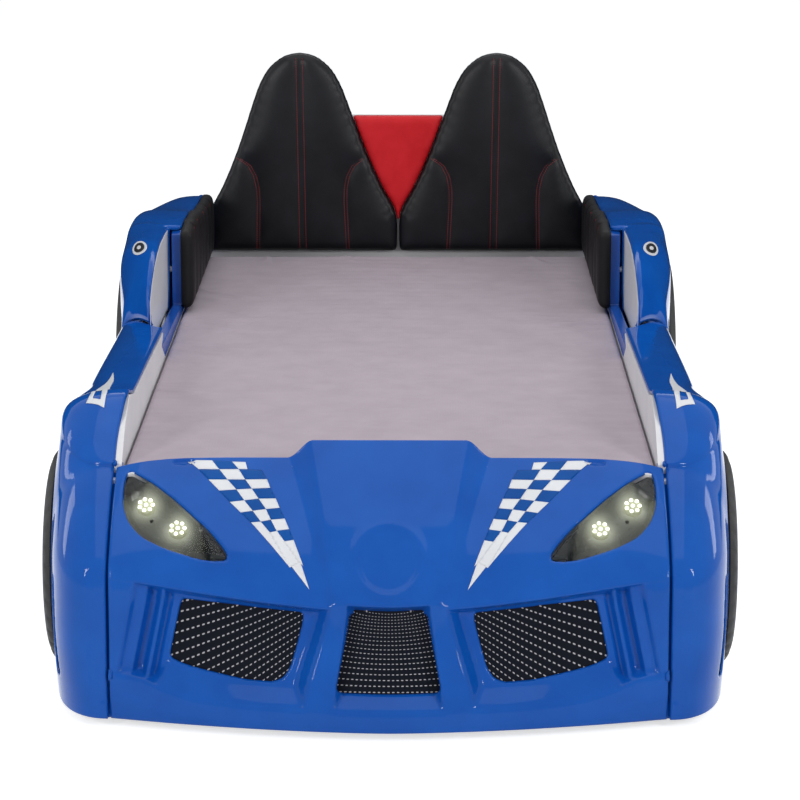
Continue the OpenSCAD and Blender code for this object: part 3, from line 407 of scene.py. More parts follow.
# Flat grid between two corners, finer near the given lines; holes are cut out, and their
# edges drawn exactly to the line. Each line is a function that gives signed distances.
# Cuts are extra columns, and warp leans the columns before anything else is done.
def flatSheet(low, high, cell, holes=(), lines=(), bands=(), cuts=(), warp=None):
    shape = bmesh.new()
    columns = max(2, round((high[0] - low[0]) / cell))
    rows = max(2, round((high[1] - low[1]) / cell))
    bmesh.ops.create_grid(shape, x_segments=columns, y_segments=rows, size=1)
    for v in shape.verts:
        v.co.x = mix(low[0], high[0], (v.co.x + 1) / 2)
        v.co.y = mix(low[1], high[1], (v.co.y + 1) / 2)
    for cut in cuts:
        bmesh.ops.bisect_plane(
            shape, geom=shape.verts[:] + shape.edges[:] + shape.faces[:], dist=0.01, plane_co=(cut, 0, 0),
            plane_no=(1, 0, 0),
        )
    if warp:
        placeVerts(shape, warp)
    for reach in bands:
        centres = np.array([f.calc_center_median()[:2] for f in shape.faces])
        near = np.zeros(len(centres), bool)
        for line in (*holes, *lines):
            near |= np.abs(line(centres)) < reach
        edges = {e for f, close in zip(shape.faces, near) if close for e in f.edges}
        bmesh.ops.subdivide_edges(shape, edges=list(edges), cuts=1, use_grid_fill=True)
    if holes:
        centres = np.array([f.calc_center_median()[:2] for f in shape.faces])
        gone = np.zeros(len(centres), bool)
        for hole in holes:
            gone |= hole(centres) < 0
        bmesh.ops.delete(shape, geom=[f for f, out in zip(shape.faces, gone) if out], context="FACES")
        shape.verts.ensure_lookup_table()
        reach = cell / 2 ** len(bands)
        for _ in range(2):  # the holes' edges are drawn in and the cells beside them eased, twice
            edge = [v for v in shape.verts if v.is_boundary]
            flat = np.array([v.co[:2] for v in edge])
            for hole in holes:
                for _ in range(3):  # steps to the line
                    gap = hole(flat)
                    dx = (hole(flat + (0.05, 0)) - gap) / 0.05
                    dy = (hole(flat + (0, 0.05)) - gap) / 0.05
                    size = np.maximum(dx * dx + dy * dy, 0.05)
                    close = np.abs(gap) < reach * 2
                    flat[close] -= (gap / size)[close, None] * np.stack([dx, dy], 1)[close]
            for v, p in zip(edge, flat):
                v.co.x, v.co.y = p
            near = {f for v in edge for f in v.link_faces}
            inner = {v for f in near for v in f.verts if not v.is_boundary}
            bmesh.ops.smooth_vert(shape, verts=list(inner), factor=0.5, use_axis_x=True, use_axis_y=True)
    return shape


def placeVerts(shape, where):
    shape.verts.ensure_lookup_table()
    flat = np.array([v.co[:] for v in shape.verts])
    for v, p in zip(shape.verts, where(flat)):
        v.co = p
    return shape


# Outward normals of a surface, which is a function of flat points
def normalsOf(surface, flat, step=0.6):
    across = surface(flat + (step, 0)) - surface(flat - (step, 0))
    down = surface(flat + (0, step)) - surface(flat - (0, step))
    normal = np.cross(down, across)
    return normal / np.maximum(np.linalg.norm(normal, axis=1), 1e-9)[:, None]


# How far an edge that is rolled over with this radius has dropped at each distance from it;
# past the edge it goes on down as a flange
def rolled(gap, radius):
    inside = np.clip(radius - gap, 0, radius)
    return radius - np.sqrt(np.maximum(radius**2 - inside**2, 0)) + np.maximum(-gap, 0)


# Puts a finished shape in metres in the scene, on its CAD body, with its finish
def finishPiece(name, shape, finish, replaced=()):
    bmesh.ops.scale(shape, vec=(0.001, 0.001, 0.001), verts=shape.verts)
    mesh = bpy.data.meshes.new(name)
    shape.to_mesh(mesh)
    shape.free()
    mesh.materials.append(finish)
    mesh.shade_smooth()
    piece = bpy.data.objects.new(name, mesh)
    scene.collection.objects.link(piece)
    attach(piece, "root")
    if replaced:
        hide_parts(*replaced)
    return piece


def addSmooth(piece):
    smooth = piece.modifiers.new("smooth", "SUBSURF")
    smooth.levels = smooth.render_levels = 1


# Raises a copy of a flat sheet to the given depths, and keeps the sheet as its back
def raiseFace(shape, depthsAt):
    made = bmesh.ops.extrude_face_region(shape, geom=shape.faces[:])
    raised = [v for v in made["geom"] if isinstance(v, bmesh.types.BMVert)]
    for v, depth in zip(raised, depthsAt(np.array([v.co[:2] for v in raised]))):
        v.co.z = depth


def addSolidify(piece, thickness, offset=-1):
    wall = piece.modifiers.new("wall", "SOLIDIFY")
    wall.thickness = thickness * 0.001
    wall.offset = offset
    return piece


# Front shell: x across, s runs down the hood, over the brow and down to the lower lip
front = dict(
    hoodLength=290, faceLength=205, hoodRise=19, edgeDrop=19, browZ=212, browBack=45, browSweep=40,
    browLift=50, lipSweep=68, ridgeRise=31, edgeRoll=4, wall=4, flange=4, sideSoft=34,
    viewDrop=(0, 0.971, -0.239),  # the way in which the grille pockets sink
)
frontEnd = front["hoodLength"] + front["faceLength"]


def shareOf(s):
    return np.where(
        s < front["hoodLength"], s / front["hoodLength"] / 2,
        0.5 + (s - front["hoodLength"]) / front["faceLength"] / 2,
    )


def frontAt(x, t):
    side = np.abs(x) / noseHw
    edgeZ = sleepZ + front["hoodRise"] - front["edgeDrop"] * side**8
    browY = noseY + front["browBack"] + front["browSweep"] * side**1.6
    browZ = front["browZ"] + front["browLift"] * side**1.5
    lipY = noseY + front["lipSweep"] * side**1.6
    h, f = np.clip(2 * t, 0, 1), np.clip(2 * t - 1, 0, 1)
    ridge = mix(front["ridgeRise"], 10, h) * (1 - ease((np.abs(x) - mix(130, 82, h)) / mix(45, 20, h)))
    midY, midZ = (hoodY + browY) / 2 - 12, (edgeZ + browZ) / 2 + 22
    y = (1 - h) ** 2 * hoodY + 2 * h * (1 - h) * midY + h * h * browY
    z = (1 - h) ** 2 * edgeZ + 2 * h * (1 - h) * midZ + h * h * browZ
    y = y + (lipY - browY) * ease(f)
    z = z + (skirtZ - browZ) * f + ridge * (1 - ease(f / 0.2))
    return np.stack([x, y, z], 1)


# The same surface with its brow softened, for flat points (x, s); the brow fades out sideways
def frontSurface(flat):
    x, s = np.clip(flat[:, 0], -noseHw, noseHw), flat[:, 1]
    soft = mix(4, front["sideSoft"], ease((np.abs(x) - 375) / 85))
    soft = np.minimum(soft, np.minimum(s, frontEnd - s).clip(0) + 4)
    total = 0
    for k in range(-5, 6):
        total = total + (6 - abs(k)) / 36 * frontAt(x, shareOf(np.clip(s + soft * k / 5, 0, frontEnd)))
    return total


# Moves an outline from (x, z) on the shell to flat (x, s)
def flatten(outline, onHood):
    s = (
        np.linspace(0, front["hoodLength"], 400) if onHood
        else np.linspace(front["hoodLength"], frontEnd, 400)
    )
    line = []
    for x, z in outline:
        heights = frontAt(np.full(400, float(x)), shareOf(s))[:, 2]
        line.append((x, s[np.argmin(np.abs(heights - z))]))
    return np.array(line)


grille = dict(
    side=[
        (342, 226), (250, 218), (141, 208), (144, 188), (154, 151), (164, 118), (176, 101), (194, 95),
        (239, 97), (289, 106), (338, 116), (366, 128), (357, 172), (347, 217),
    ],
    centre=[(-63, 207), (63, 207), (86, 88), (80, 81), (-80, 81), (-86, 88)],
    corner=9, depth=26, rim=9,
)
sideGrilleLine = flatten(roundCorners(grille["side"], grille["corner"]), False)
centreGrilleLine = flatten(roundCorners(grille["centre"], 5), False)
lampTrim = dict(
    line=[
        (442, 400), (427, 396), (401, 387), (367, 369), (329, 344), (303, 326), (281, 306), (269, 292),
        (272, 285), (291, 284), (318, 287), (346, 294), (380, 303), (415, 317), (437, 336), (447, 354),
        (450, 375), (448, 392),
    ],
    corner=14,
)
lampLine = flatten(roundCorners(lampTrim["line"], lampTrim["corner"], 4), True)


def mirrored(line):
    def gap(flat):
        folded = np.stack([np.abs(flat[:, 0]), flat[:, 1]], 1)
        return outlineGap(folded, line)

    return gap


sideGrilleGap, lampGap = mirrored(sideGrilleLine), mirrored(lampLine)


def centreGrilleGap(flat):
    return outlineGap(flat, centreGrilleLine)


def frontEdgeGap(flat):
    return np.minimum(noseHw - np.abs(flat[:, 0]), np.minimum(flat[:, 1], frontEnd - flat[:, 1]))


def browGap(flat):
    return flat[:, 1] - front["hoodLength"]


# Relief of the face: slots beside the pockets, the pockets' walls and ramps, in mm of depth
slotAxis = smoothLine([(90, 418), (106, 415), (250, 386), (270, 383)])
slotDepth = [
    (-43, 0), (-38, 1), (-30, 10), (-26, 12), (-15, 12.5), (-12, 14), (-7.5, 27), (-5, 29), (3, 29),
    (5.5, 27.5),
    (11, 14.5), (13.5, 13), (16, 13.4), (18.5, 15.5), (23, 28), (25.5, 30), (28, 30), (33, 26),
]
slotCuts = [sign * (400 - across) for across, _ in slotDepth for sign in (1, -1)]
softCrease = smoothLine(
    [(0, 53), (139, 55), (190, 56), (241, 57), (309, 61), (378, 77), (412, 91), (443, 96), (467, 97)]
)
grilleFoot = smoothLine([(139, 92), (194, 91), (239, 93), (289, 101), (338, 111), (368, 124), (400, 135)])
lowCrease = smoothLine([(0, 14), (200, 15), (275, 24), (326, 30), (378, 38), (430, 51), (467, 61)])
pillarEdge = smoothLine([(50, 141), (60, 139), (104, 128), (168, 108), (212, 96), (230, 92)])
hubDent = dict(x=350, s=12, halfWidth=19, halfHeight=8, depth=5)
badge = dict(s=flatten([(0, 288)], True)[0][1], radius=58, width=4.6, rise=2.8, dish=1.8)


# Leans the sheet's columns so that they run along the slots
def alongSlots(flat):
    flat = flat.copy()
    side, z = np.abs(flat[:, 0]), frontSurface(flat[:, :2])[:, 2]
    share = (
        ease((side - 290) / 60) * ease((noseHw - side) / 22) * ease((flat[:, 1] - front["hoodLength"]) / 30)
        * ease((z - 60) / 30)
    )
    flat[:, 0] += np.sign(flat[:, 0]) * share * (slotAxis(z) - 400)
    return flat


def faceDepth(flat, z):
    side, under = np.abs(flat[:, 0]), flat[:, 1] - front["hoodLength"]
    across = slotAxis(z) - side
    slots = np.interp(across, *zip(*slotDepth))
    roof = (under - 1) / 8 * 30
    foot = softCrease(side)
    ramp = mix(12.0, grilleFoot(side) - foot, ease((across - 20) / 30))
    pocket = softMin(softMin(slots, roof, 3), (z - foot) / ramp * 26, 4)
    pocket = softMin(pocket, (side - pillarEdge(z)) / 24 * 26, 4)
    middle = softMin((np.interp(z, [53, 95, 210], [90, 86, 69]) - side) / 9 * 23, roof, 3)
    middle = softMin(middle, (z - 53) / 26 * 23, 4)
    depth = -softMin(-np.maximum(pocket, middle), 0 * side, 3)
    return np.where(under > 0, depth + 0.22 * np.maximum(lowCrease(side) - z, 0), 0)


def frontRelief(flat):
    point = frontSurface(flat)
    normal = normalsOf(frontSurface, flat)
    depth = faceDepth(flat, point[:, 2])
    r = np.hypot(flat[:, 0], flat[:, 1] - badge["s"])
    lift = badge["rise"] * np.exp(-(((r - badge["radius"]) / badge["width"]) ** 2))
    lift -= badge["dish"] * (1 - ease((r - badge["radius"] + 12) / 8))
    away = (
        ((np.abs(flat[:, 0]) - hubDent["x"]) / hubDent["halfWidth"]) ** 2
        + ((flat[:, 1] - hubDent["s"]) / hubDent["halfHeight"]) ** 2
    )
    lift -= hubDent["depth"] * ease(1.6 - 1.3 * away)
    return point + depth[:, None] * np.array(front["viewDrop"]) + lift[:, None] * normal


def frontFinished(vertices):
    flat = vertices[:, :2].copy()
    flat[:, 0] = np.clip(
        flat[:, 0], -noseHw - front["flange"] * ease(flat[:, 1] / 60),
        noseHw + front["flange"] * ease(flat[:, 1] / 60),
    )
    on = np.clip(flat, (-noseHw + 0.8, 0.8), (noseHw - 0.8, frontEnd - 0.8))
    point = frontRelief(np.clip(flat, (-noseHw, 0), (noseHw, frontEnd)))
    normal = normalsOf(frontSurface, on)
    drop = rolled(frontEdgeGap(flat), front["edgeRoll"])
    for gap, radius in ((sideGrilleGap, 2.5), (centreGrilleGap, 2.5), (lampGap, 3.5)):
        drop = np.maximum(drop, rolled(gap(flat), radius))
    return point - drop[:, None] * normal


shell = flatSheet(
    (-noseHw - front["flange"], 0), (noseHw + front["flange"], frontEnd), 5.0,
    holes=(sideGrilleGap, centreGrilleGap, lampGap),
    lines=(frontEdgeGap, browGap), bands=(9,), cuts=slotCuts, warp=alongSlots,
)
placeVerts(shell, frontFinished)
bmesh.ops.reverse_faces(shell, faces=shell.faces)
frontPiece = addSolidify(
    finishPiece("frontShellSkin", shell, blueShell, ["front_shell"]), front["wall"],
)
print("front shell made", len(frontPiece.data.polygons))


# Side shells and rear quarters: flat points are (a, b), a runs back along the bed, b runs up
def wheelOf(tyre):
    low, high = lowOf(tyre), highOf(tyre)
    return dict(
        y=(low.y + high.y) / 2, z=(low.z + high.z) / 2, r=(high.z - low.z) / 2, inner=low.x, outer=high.x,
    )


frontWheel, rearWheel = wheelOf("front_right_tyre"), wheelOf("rear_right_tyre")
seamY = noseY + 1097
guardY = headY - 690
flank = dict(
    cornerU=0.4, cornerRadius=200, tuck=6, tuckHeight=150, doorPinch=20, seamGap=3,
    seamSlant=140, archGap=13, lip=3.5, lipWidth=16, edgeRoll=4, archRoll=5, ventRoll=2.5, bandWidth=27,
    bandDepth=2.2, wall=4, fit=0.3, flange=22, flangeStep=8, hoodInset=11,
)
fenderTop = smoothLine([
    (hoodY, sleepZ + 8), (hoodY + 76, sleepZ + 64), (noseY + 400, sleepZ + 96), (noseY + 424, sleepZ + 97),
    (noseY + 452, sleepZ + 90), (noseY + 495, sleepZ + 81), (noseY + 800, sleepZ + 71),
    (seamY, sleepZ + 61),
])
shoulderZ = smoothLine([
    (hoodY, sleepZ), (hoodY + 80, sleepZ + 28), (noseY + 420, sleepZ + 42),
    (noseY + 614, sleepZ + 31), (noseY + 785, sleepZ + 28), (seamY + 140, sleepZ + 12),
])

# Flat sizes of the two sheets: where the corner or tail turns, where the top bends over, where
# the quarter's inner fold and wall begin, and the full length and height
sideFlat = dict(corner=250, cap=415, length=1150, top=535)
quarterFlat = dict(tail=970, cap=430, fold=555, wall=563, length=1090, top=740)


def bendOver(a, n):
    return np.maximum(a, 0) ** (2 / n)


def tuckAt(z):
    return flank["tuck"] * (1 - np.clip((z - skirtZ) / flank["tuckHeight"], 0, 1)) ** 2


def rearSeam(x):
    return seamY + flank["seamSlant"] * ease((x - inX) / (bodyHw - inX))


# Where a point of the narrowed flank would be on the full width
def widened(x, pinch):
    return x + pinch * (x - inX) / (bodyHw - pinch - inX)


def sideRow(u, w):
    down = np.where(w > 0.5, (1 - w) * 2 * front["hoodLength"], frontEnd - w * 2 * front["faceLength"])
    start = frontSurface(np.stack([np.full(len(u), noseHw), down], 1))
    startY, startZ = start[:, 1], start[:, 2]
    turn = math.pi / 2 * np.minimum(1, u / flank["cornerU"])
    run = np.maximum(0, (u - flank["cornerU"]) / (1 - flank["cornerU"]))
    n = mix(2.2, 2.6, ease((startZ - skirtZ) / flank["tuckHeight"]))
    nearX = noseHw + flank["seamGap"]
    fullX = nearX + (bodyHw - nearX - tuckAt(startZ)) * bendOver(np.sin(turn), n)
    y = mix(
        startY + flank["cornerRadius"] * (1 - bendOver(np.cos(turn), n)),
        rearSeam(fullX) - flank["seamGap"], run,
    )
    pinch = ease((y - frontWheel["y"] - 20) / 180)
    grow = (shoulderZ(y) - skirtZ) / (shoulderZ(hoodY) - skirtZ)
    return np.stack([fullX - flank["doorPinch"] * pinch * ease(w), y, skirtZ + (startZ - skirtZ) * grow], 1)


def sideAt(flat):
    a, b = np.clip(flat[:, 0], 0, sideFlat["length"]), np.clip(flat[:, 1], 0, sideFlat["top"])
    corner, door = flank["cornerU"], sideFlat["length"] - sideFlat["corner"]
    u = np.where(
        a < sideFlat["corner"], a / sideFlat["corner"] * corner,
        corner + (a - sideFlat["corner"]) / door * (1 - corner),
    )
    row = sideRow(u, np.clip(b / sideFlat["cap"], 0, 1))
    cap = np.clip((b - sideFlat["cap"]) / (sideFlat["top"] - sideFlat["cap"]), 0, 1) * math.pi / 2
    run = np.maximum(0, (u - flank["cornerU"]) / (1 - flank["cornerU"]))
    edgeX = inX + flank["fit"] + flank["hoodInset"] * (1 - ease((row[:, 1] - hoodY - 20) / 150))
    x = mix(edgeX, row[:, 0], bendOver(np.cos(cap), 2.3))
    pinch = flank["doorPinch"] * ease((row[:, 1] - frontWheel["y"] - 20) / 180)
    y = row[:, 1] + (rearSeam(widened(x, pinch)) - rearSeam(widened(row[:, 0], pinch))) * run
    over = np.stack([x, y, mix(row[:, 2], fenderTop(y), bendOver(np.sin(cap), 2.3))], 1)
    return np.where((b > sideFlat["cap"])[:, None], over, row)


tail = dict(u=0.86, radius=55, slitX=inX + 29, coverY=guardY + 25, fillet=5, waistEnd=240, browZ=268)
quarterTop = smoothLine([
    (seamY + 28, sleepZ + 60), (seamY + 46, sleepZ + 96), (seamY + 72, sleepZ + 130),
    (seamY + 132, sleepZ + 155),
    (seamY + 204, sleepZ + 172), (seamY + 276, sleepZ + 180), (guardY + 68, sleepZ + 181),
    (guardY + 218, sleepZ + 176),
    (guardY + 318, sleepZ + 161), (tailY - 124, sleepZ + 144), (tailY, sleepZ + 124),
])
hipZ = smoothLine([
    (seamY + 140, sleepZ + 4), (seamY + 183, sleepZ + 12), (seamY + 249, sleepZ + 42),
    (seamY + 300, sleepZ + 72), (guardY + 11, sleepZ + 123),
    (guardY + 98, sleepZ + 149), (guardY + 200, sleepZ + 155), (guardY + 350, sleepZ + 141),
    (tailY - 185, sleepZ + 121), (tailY, sleepZ + 97),
])


def quarterAt(flat):
    a, b = np.clip(flat[:, 0], 0, quarterFlat["length"]), np.clip(flat[:, 1], 0, quarterFlat["top"])
    straight, end = quarterFlat["tail"], quarterFlat["length"] - quarterFlat["tail"]
    u = np.where(a < straight, a / straight * tail["u"], tail["u"] + (a - straight) / end * (1 - tail["u"]))
    w = np.clip(b / quarterFlat["cap"], 0, 1)
    run, turn = np.minimum(1, u / tail["u"]), math.pi / 2 * np.maximum(0, (u - tail["u"]) / (1 - tail["u"]))
    startY = mix(rearSeam(bodyHw), tailY - tail["radius"], run)
    y = startY + tail["radius"] * bendOver(np.sin(turn), 2.4)
    z = mix(skirtZ, hipZ(y), w)
    hipX = bodyHw - 60 * np.clip((startY - guardY - 88) / (tailY - guardY - 88), 0, 1) ** 2
    waist = flank["doorPinch"] * (1 - ease((y - seamY - flank["seamSlant"]) / tail["waistEnd"]))
    hipX = hipX - waist * ease(np.interp(z, (skirtZ, tail["browZ"], sleepZ + 4), (0, 0.5, 1)))
    x = mix(sideX + 2, hipX - tuckAt(z), bendOver(np.cos(turn), 2.4))
    cap = np.clip((b - quarterFlat["cap"]) / (quarterFlat["fold"] - quarterFlat["cap"]), 0, 1) * math.pi / 2
    edgeY = rearSeam(widened(x, waist))
    slitY = y + (rearSeam(widened(tail["slitX"], waist)) - edgeY) * (1 - run)
    innerX = mix(tail["slitX"], inX + flank["fit"], ease((slitY - guardY - 6) / (tail["coverY"] - guardY)))
    fold = np.clip(
        (b - quarterFlat["fold"]) / (quarterFlat["wall"] - quarterFlat["fold"]), 0, 1,
    ) * math.pi / 2
    down = np.clip((b - quarterFlat["wall"]) / (quarterFlat["top"] - quarterFlat["wall"]), 0, 1)
    n = mix(2.3, 2.6, ease(run / 0.15))
    capX = mix(innerX + tail["fillet"], x, bendOver(np.cos(cap), n)) - tail["fillet"] * np.sin(fold)
    capY = y + (rearSeam(widened(capX, waist)) - edgeY) * (1 - run)
    capZ = mix(z, quarterTop(slitY), bendOver(np.sin(cap), n))
    wallDepth = mix(capZ - sleepZ - 8, 3, ease((slitY - guardY - 2) / 8))
    capZ = capZ - tail["fillet"] * (1 - np.cos(fold)) - down * wallDepth
    over = np.stack([capX, capY, capZ], 1)
    return np.where((b > quarterFlat["cap"])[:, None], over, np.stack([x, y, z], 1))


def archGapOf(surface, wheel):
    def gap(flat):
        p = surface(flat)
        around = np.hypot(p[:, 1] - wheel["y"], p[:, 2] - wheel["z"]) - wheel["r"] - flank["archGap"]
        return np.where(p[:, 0] > sideX + 10, around, 60)

    return gap


vent = dict(y=noseY + 170, z=150, width=30, height=168, lean=10)


def ventGap(flat):
    p = sideAt(flat)
    lean = math.radians(vent["lean"])
    y, z = p[:, 1] - vent["y"], p[:, 2] - vent["z"]
    across = y * math.cos(lean) - z * math.sin(lean)
    up = y * math.sin(lean) + z * math.cos(lean)
    outX, outZ = np.abs(across) - vent["width"] / 4, np.abs(up) - vent["height"] / 2 + vent["width"] / 4
    return (
        np.hypot(np.maximum(outX, 0), np.maximum(outZ, 0)) + np.minimum(np.maximum(outX, outZ), 0)
        - vent["width"] / 4
    )


def borderGap(width, height):
    def gap(flat):
        return np.minimum(
            np.minimum(flat[:, 0], width - flat[:, 0]), np.minimum(flat[:, 1], height - flat[:, 1]),
        )

    return gap


def outwards(surface, flat):
    return -normalsOf(surface, flat)


frontArchGap, rearArchGap = archGapOf(sideAt, frontWheel), archGapOf(quarterAt, rearWheel)
sideBorder = borderGap(sideFlat["length"], sideFlat["top"])
quarterBorder = borderGap(quarterFlat["length"], quarterFlat["top"])


def sideRelief(flat):
    point, normal = sideAt(flat), outwards(sideAt, flat)
    arch = frontArchGap(flat)
    lift = flank["lip"] * np.exp(-((arch / flank["lipWidth"]) ** 2))
    band = (
        (1 - ease((flat[:, 0] - flank["bandWidth"]) / 5)) * ease((point[:, 2] - 44) / 5)
        * ease((268 - point[:, 2]) / 8)
    )
    return point + (lift - band * flank["bandDepth"])[:, None] * normal


def quarterRelief(flat):
    point, normal = quarterAt(flat), outwards(quarterAt, flat)
    lift = flank["lip"] * np.exp(-((rearArchGap(flat) / flank["lipWidth"]) ** 2))
    return point + lift[:, None] * normal


# The sheet runs on past its front edge as a stepped flange, under the shell ahead of it; the
# flange fades towards the inner top edge
def shellFinish(relief, surface, gaps, size, fadeFrom):
    def where(vertices):
        flat = vertices[:, :2].copy()
        past = np.clip(-flat[:, 0], 0, flank["flange"]) * (1 - ease((flat[:, 1] - fadeFrom) / 60))
        flat[:, 0] = np.maximum(flat[:, 0], 0)
        drop = 0
        for gap, radius in gaps:
            drop = np.maximum(drop, rolled(gap(flat), radius))
        on = np.clip(flat, 0.8, (size[0] - 0.8, size[1] - 0.8))
        ahead = surface(on) - surface(on + (0.7, 0))
        ahead = ahead / np.linalg.norm(ahead, axis=1)[:, None]
        down = drop + np.minimum(past, flank["flangeStep"])
        slide = np.maximum(past - flank["flangeStep"], 0)
        return relief(flat) - down[:, None] * outwards(surface, on) + slide[:, None] * ahead

    return where


def mirrorAcross(shape):
    for v in shape.verts:
        v.co.x = -v.co.x
    bmesh.ops.reverse_faces(shape, faces=shape.faces)
    return shape


sideSize = (sideFlat["length"], sideFlat["top"])
quarterSize = (quarterFlat["length"], quarterFlat["top"])
sideEdges = (
    (sideBorder, flank["edgeRoll"]), (frontArchGap, flank["archRoll"]), (ventGap, flank["ventRoll"]),
)
quarterEdges = ((quarterBorder, flank["edgeRoll"]), (rearArchGap, flank["archRoll"]))
for sideName in ("right", "left"):
    shell = flatSheet(
        (-flank["flange"], 0), sideSize, 9, holes=(frontArchGap, ventGap), lines=(sideBorder,),
        bands=(14, 8),
    )
    placeVerts(shell, shellFinish(sideRelief, sideAt, sideEdges, sideSize, 445))
    quarter = flatSheet(
        (-flank["flange"], 0), quarterSize, 9, holes=(rearArchGap,), lines=(quarterBorder,), bands=(14, 8),
    )
    placeVerts(quarter, shellFinish(quarterRelief, quarterAt, quarterEdges, quarterSize, 495))
    if sideName == "left":
        mirrorAcross(shell)
        mirrorAcross(quarter)
    addSolidify(
        finishPiece(sideName + "SideSkin", shell, blueShell, [sideName + "_side_shell"]),
        flank["wall"],
    )
    addSolidify(
        finishPiece(
            sideName + "QuarterSkin", quarter, blueShell, [sideName + "_rear_quarter"],
        ),
        flank["wall"],
    )
print("side shells and rear quarters made")


# Grilles behind the front shell: perforated sheet, its rows follow two float attributes
# Stamped black aluminium sheet: slots 5 mm long in slanting rows, painted pale as light showing through
# them
perforated, tree, shader, places = newMaterial(
    "perforatedBlackSheet", Roughness=0.45, Specular_IOR_Level=0.06,
)
rowPlace = addNode(tree, "ShaderNodeAttribute", attribute_name="row")
dashPlace = addNode(tree, "ShaderNodeAttribute", attribute_name="dash")
rowWave = addNode(tree, "ShaderNodeMath", {0: rowPlace.outputs["Fac"], 1: 0.5}, operation="PINGPONG")
dashWave = addNode(tree, "ShaderNodeMath", {0: dashPlace.outputs["Fac"], 1: 0.5}, operation="PINGPONG")
onRow = addNode(
    tree, "ShaderNodeMapRange",
    {"Value": rowWave.outputs[0], "From Min": 0.02, "From Max": 0.11, "To Min": 1.0, "To Max": 0.0},
)
onDash = addNode(
    tree, "ShaderNodeMapRange",
    {"Value": dashWave.outputs[0], "From Min": 0.15, "From Max": 0.3, "To Min": 1.0, "To Max": 0.0},
)
slotMask = addNode(
    tree, "ShaderNodeMath", {0: onRow.outputs[0], 1: onDash.outputs[0]}, operation="MULTIPLY",
)
slotPaintedLight = addNode(
    tree, "ShaderNodeValToRGB", {"Fac": slotMask.outputs[0]}, stops=[(0.12, "#10131c"), (0.5, "#b4b2b6")],
)
tree.links.new(slotPaintedLight.outputs["Color"], shader.inputs["Base Color"])
addBump(tree, shader, slotMask.outputs[0], 0.5, -0.0006)


def setAttribute(piece, name, values):
    attribute = piece.data.attributes.new(name, "FLOAT", "POINT")
    attribute.data.foreach_set("value", np.asarray(values, np.float32))


def sideGrilleRows(flat):
    x, z = np.abs(flat[:, 0]), frontSurface(flat)[:, 2]
    inward = np.clip(372 - x, 0, 400)
    bent = inward / 215
    row = (215 + 0.23 * inward + 9 * bent**2.4 - z) / mix(17.5, 10.8, bent)
    return row, inward * (1 + 0.2 * bent**1.5) / 9.3


def centreGrilleRows(flat):
    x, down = flat[:, 0], np.clip(210 - frontSurface(flat)[:, 2], 0, 140)
    sag = down - 12 * (1 - down / 130) * (1 - (x / 75) ** 2)
    return 25.2 * np.log(1 + np.maximum(sag + 14, 0) / 126), x / mix(5.2, 7.9, down / 126)


def makeGrille(name, low, high, gap, depth, rows, node):
    def kept(flat):
        return grille["rim"] - gap(flat)

    shape = flatSheet(low, high, 5, holes=(kept,), bands=())
    flat = np.array([v.co[:2] for v in shape.verts])
    row, dash = rows(flat)
    placeVerts(
        shape,
        lambda v: frontSurface(v[:, :2]) + (depth + front["wall"] + 1.2) * np.array(front["viewDrop"]),
    )
    bmesh.ops.reverse_faces(shape, faces=shape.faces)
    piece = finishPiece(name, shape, perforated, [node])
    setAttribute(piece, "row", row)
    setAttribute(piece, "dash", dash)
    return addSolidify(piece, 1.5)


for sideName, sign in (("right", 1), ("left", -1)):
    xs = sorted((sign * 120, sign * 385))
    makeGrille(
        sideName + "GrilleSheet", (xs[0], 300), (xs[1], 440), sideGrilleGap, grille["depth"],
        sideGrilleRows, sideName + "_grille",
    )
makeGrille(
    "centreGrilleSheet", (-100, 285), (100, 445), centreGrilleGap, 23, centreGrilleRows, "centre_grille",
)
print("grilles made")


# Headlamps: a dark tub with two lit clusters under a clear lens
lamp = dict(
    depth=34, wall=2.4, clusterRadius=16, tilt=40, foot=5, domes=8, ring=11.5, domeRadius=3.2,
    clusters=[(noseHw - 57, hoodY - 61), (noseHw - 113, hoodY - 99)],
)


def hoodHeight(x, y):
    s = np.linspace(0, front["hoodLength"], 600)
    line = frontAt(np.full(600, float(x)), shareOf(s))
    return float(np.interp(-y, -line[:, 1], line[:, 2]))


clusterPlaces = [
    Vector((x, y, hoodHeight(x, y) - lamp["depth"] + lamp["wall"])) for x, y in lamp["clusters"]
]

# Smoked glossy ABS tub, with a painted halo of light round its two clusters and painted glints on specks
# near its rim, both drawn as emission
tubShine, tree, shader, places = newMaterial("smokedReflectorAbs", Roughness=0.16, Specular_IOR_Level=0.3)
haloPaintInput = addNode(tree, "ShaderNodeAttribute", attribute_name="glow")
glintPaintInput = addNode(tree, "ShaderNodeAttribute", attribute_name="spark")
glintSpeckNoise = addNode(
    tree, "ShaderNodeTexNoise", {"Vector": places, "Scale": 1 / 0.006, "Detail": 2, "Roughness": 0.7},
)
glintSpeckMask = addNode(
    tree, "ShaderNodeMapRange", {"Value": glintSpeckNoise.outputs["Fac"], "From Min": 0.56, "From Max": 0.66},
)
paintedGlintLight = addNode(
    tree, "ShaderNodeMath", {0: glintSpeckMask.outputs[0], 1: glintPaintInput.outputs["Fac"]}, operation="MULTIPLY",
)
# painted glints plus the painted halo, fed to the tub's emission
lit = addNode(tree, "ShaderNodeMath", {0: paintedGlintLight.outputs[0], 1: haloPaintInput.outputs["Fac"]}, operation="ADD")
driftColour(tree, shader, places, "#0d1113", "#1b2226", 0.02)
tree.links.new(lit.outputs[0], shader.inputs["Emission Strength"])
shader.inputs["Emission Color"].default_value = linear("#e6ecd2")

# Injection-moulded clear polycarbonate
clearLens, tree, shader, places = newMaterial(
    "clearPolycarbonate", Roughness=0.02, IOR=1.12, Transmission_Weight=1.0,
)
wavy = addNode(tree, "ShaderNodeTexNoise", {"Vector": places, "Scale": 1 / 0.02})
addBump(tree, shader, wavy.outputs["Fac"], 0.2, 0.0002)

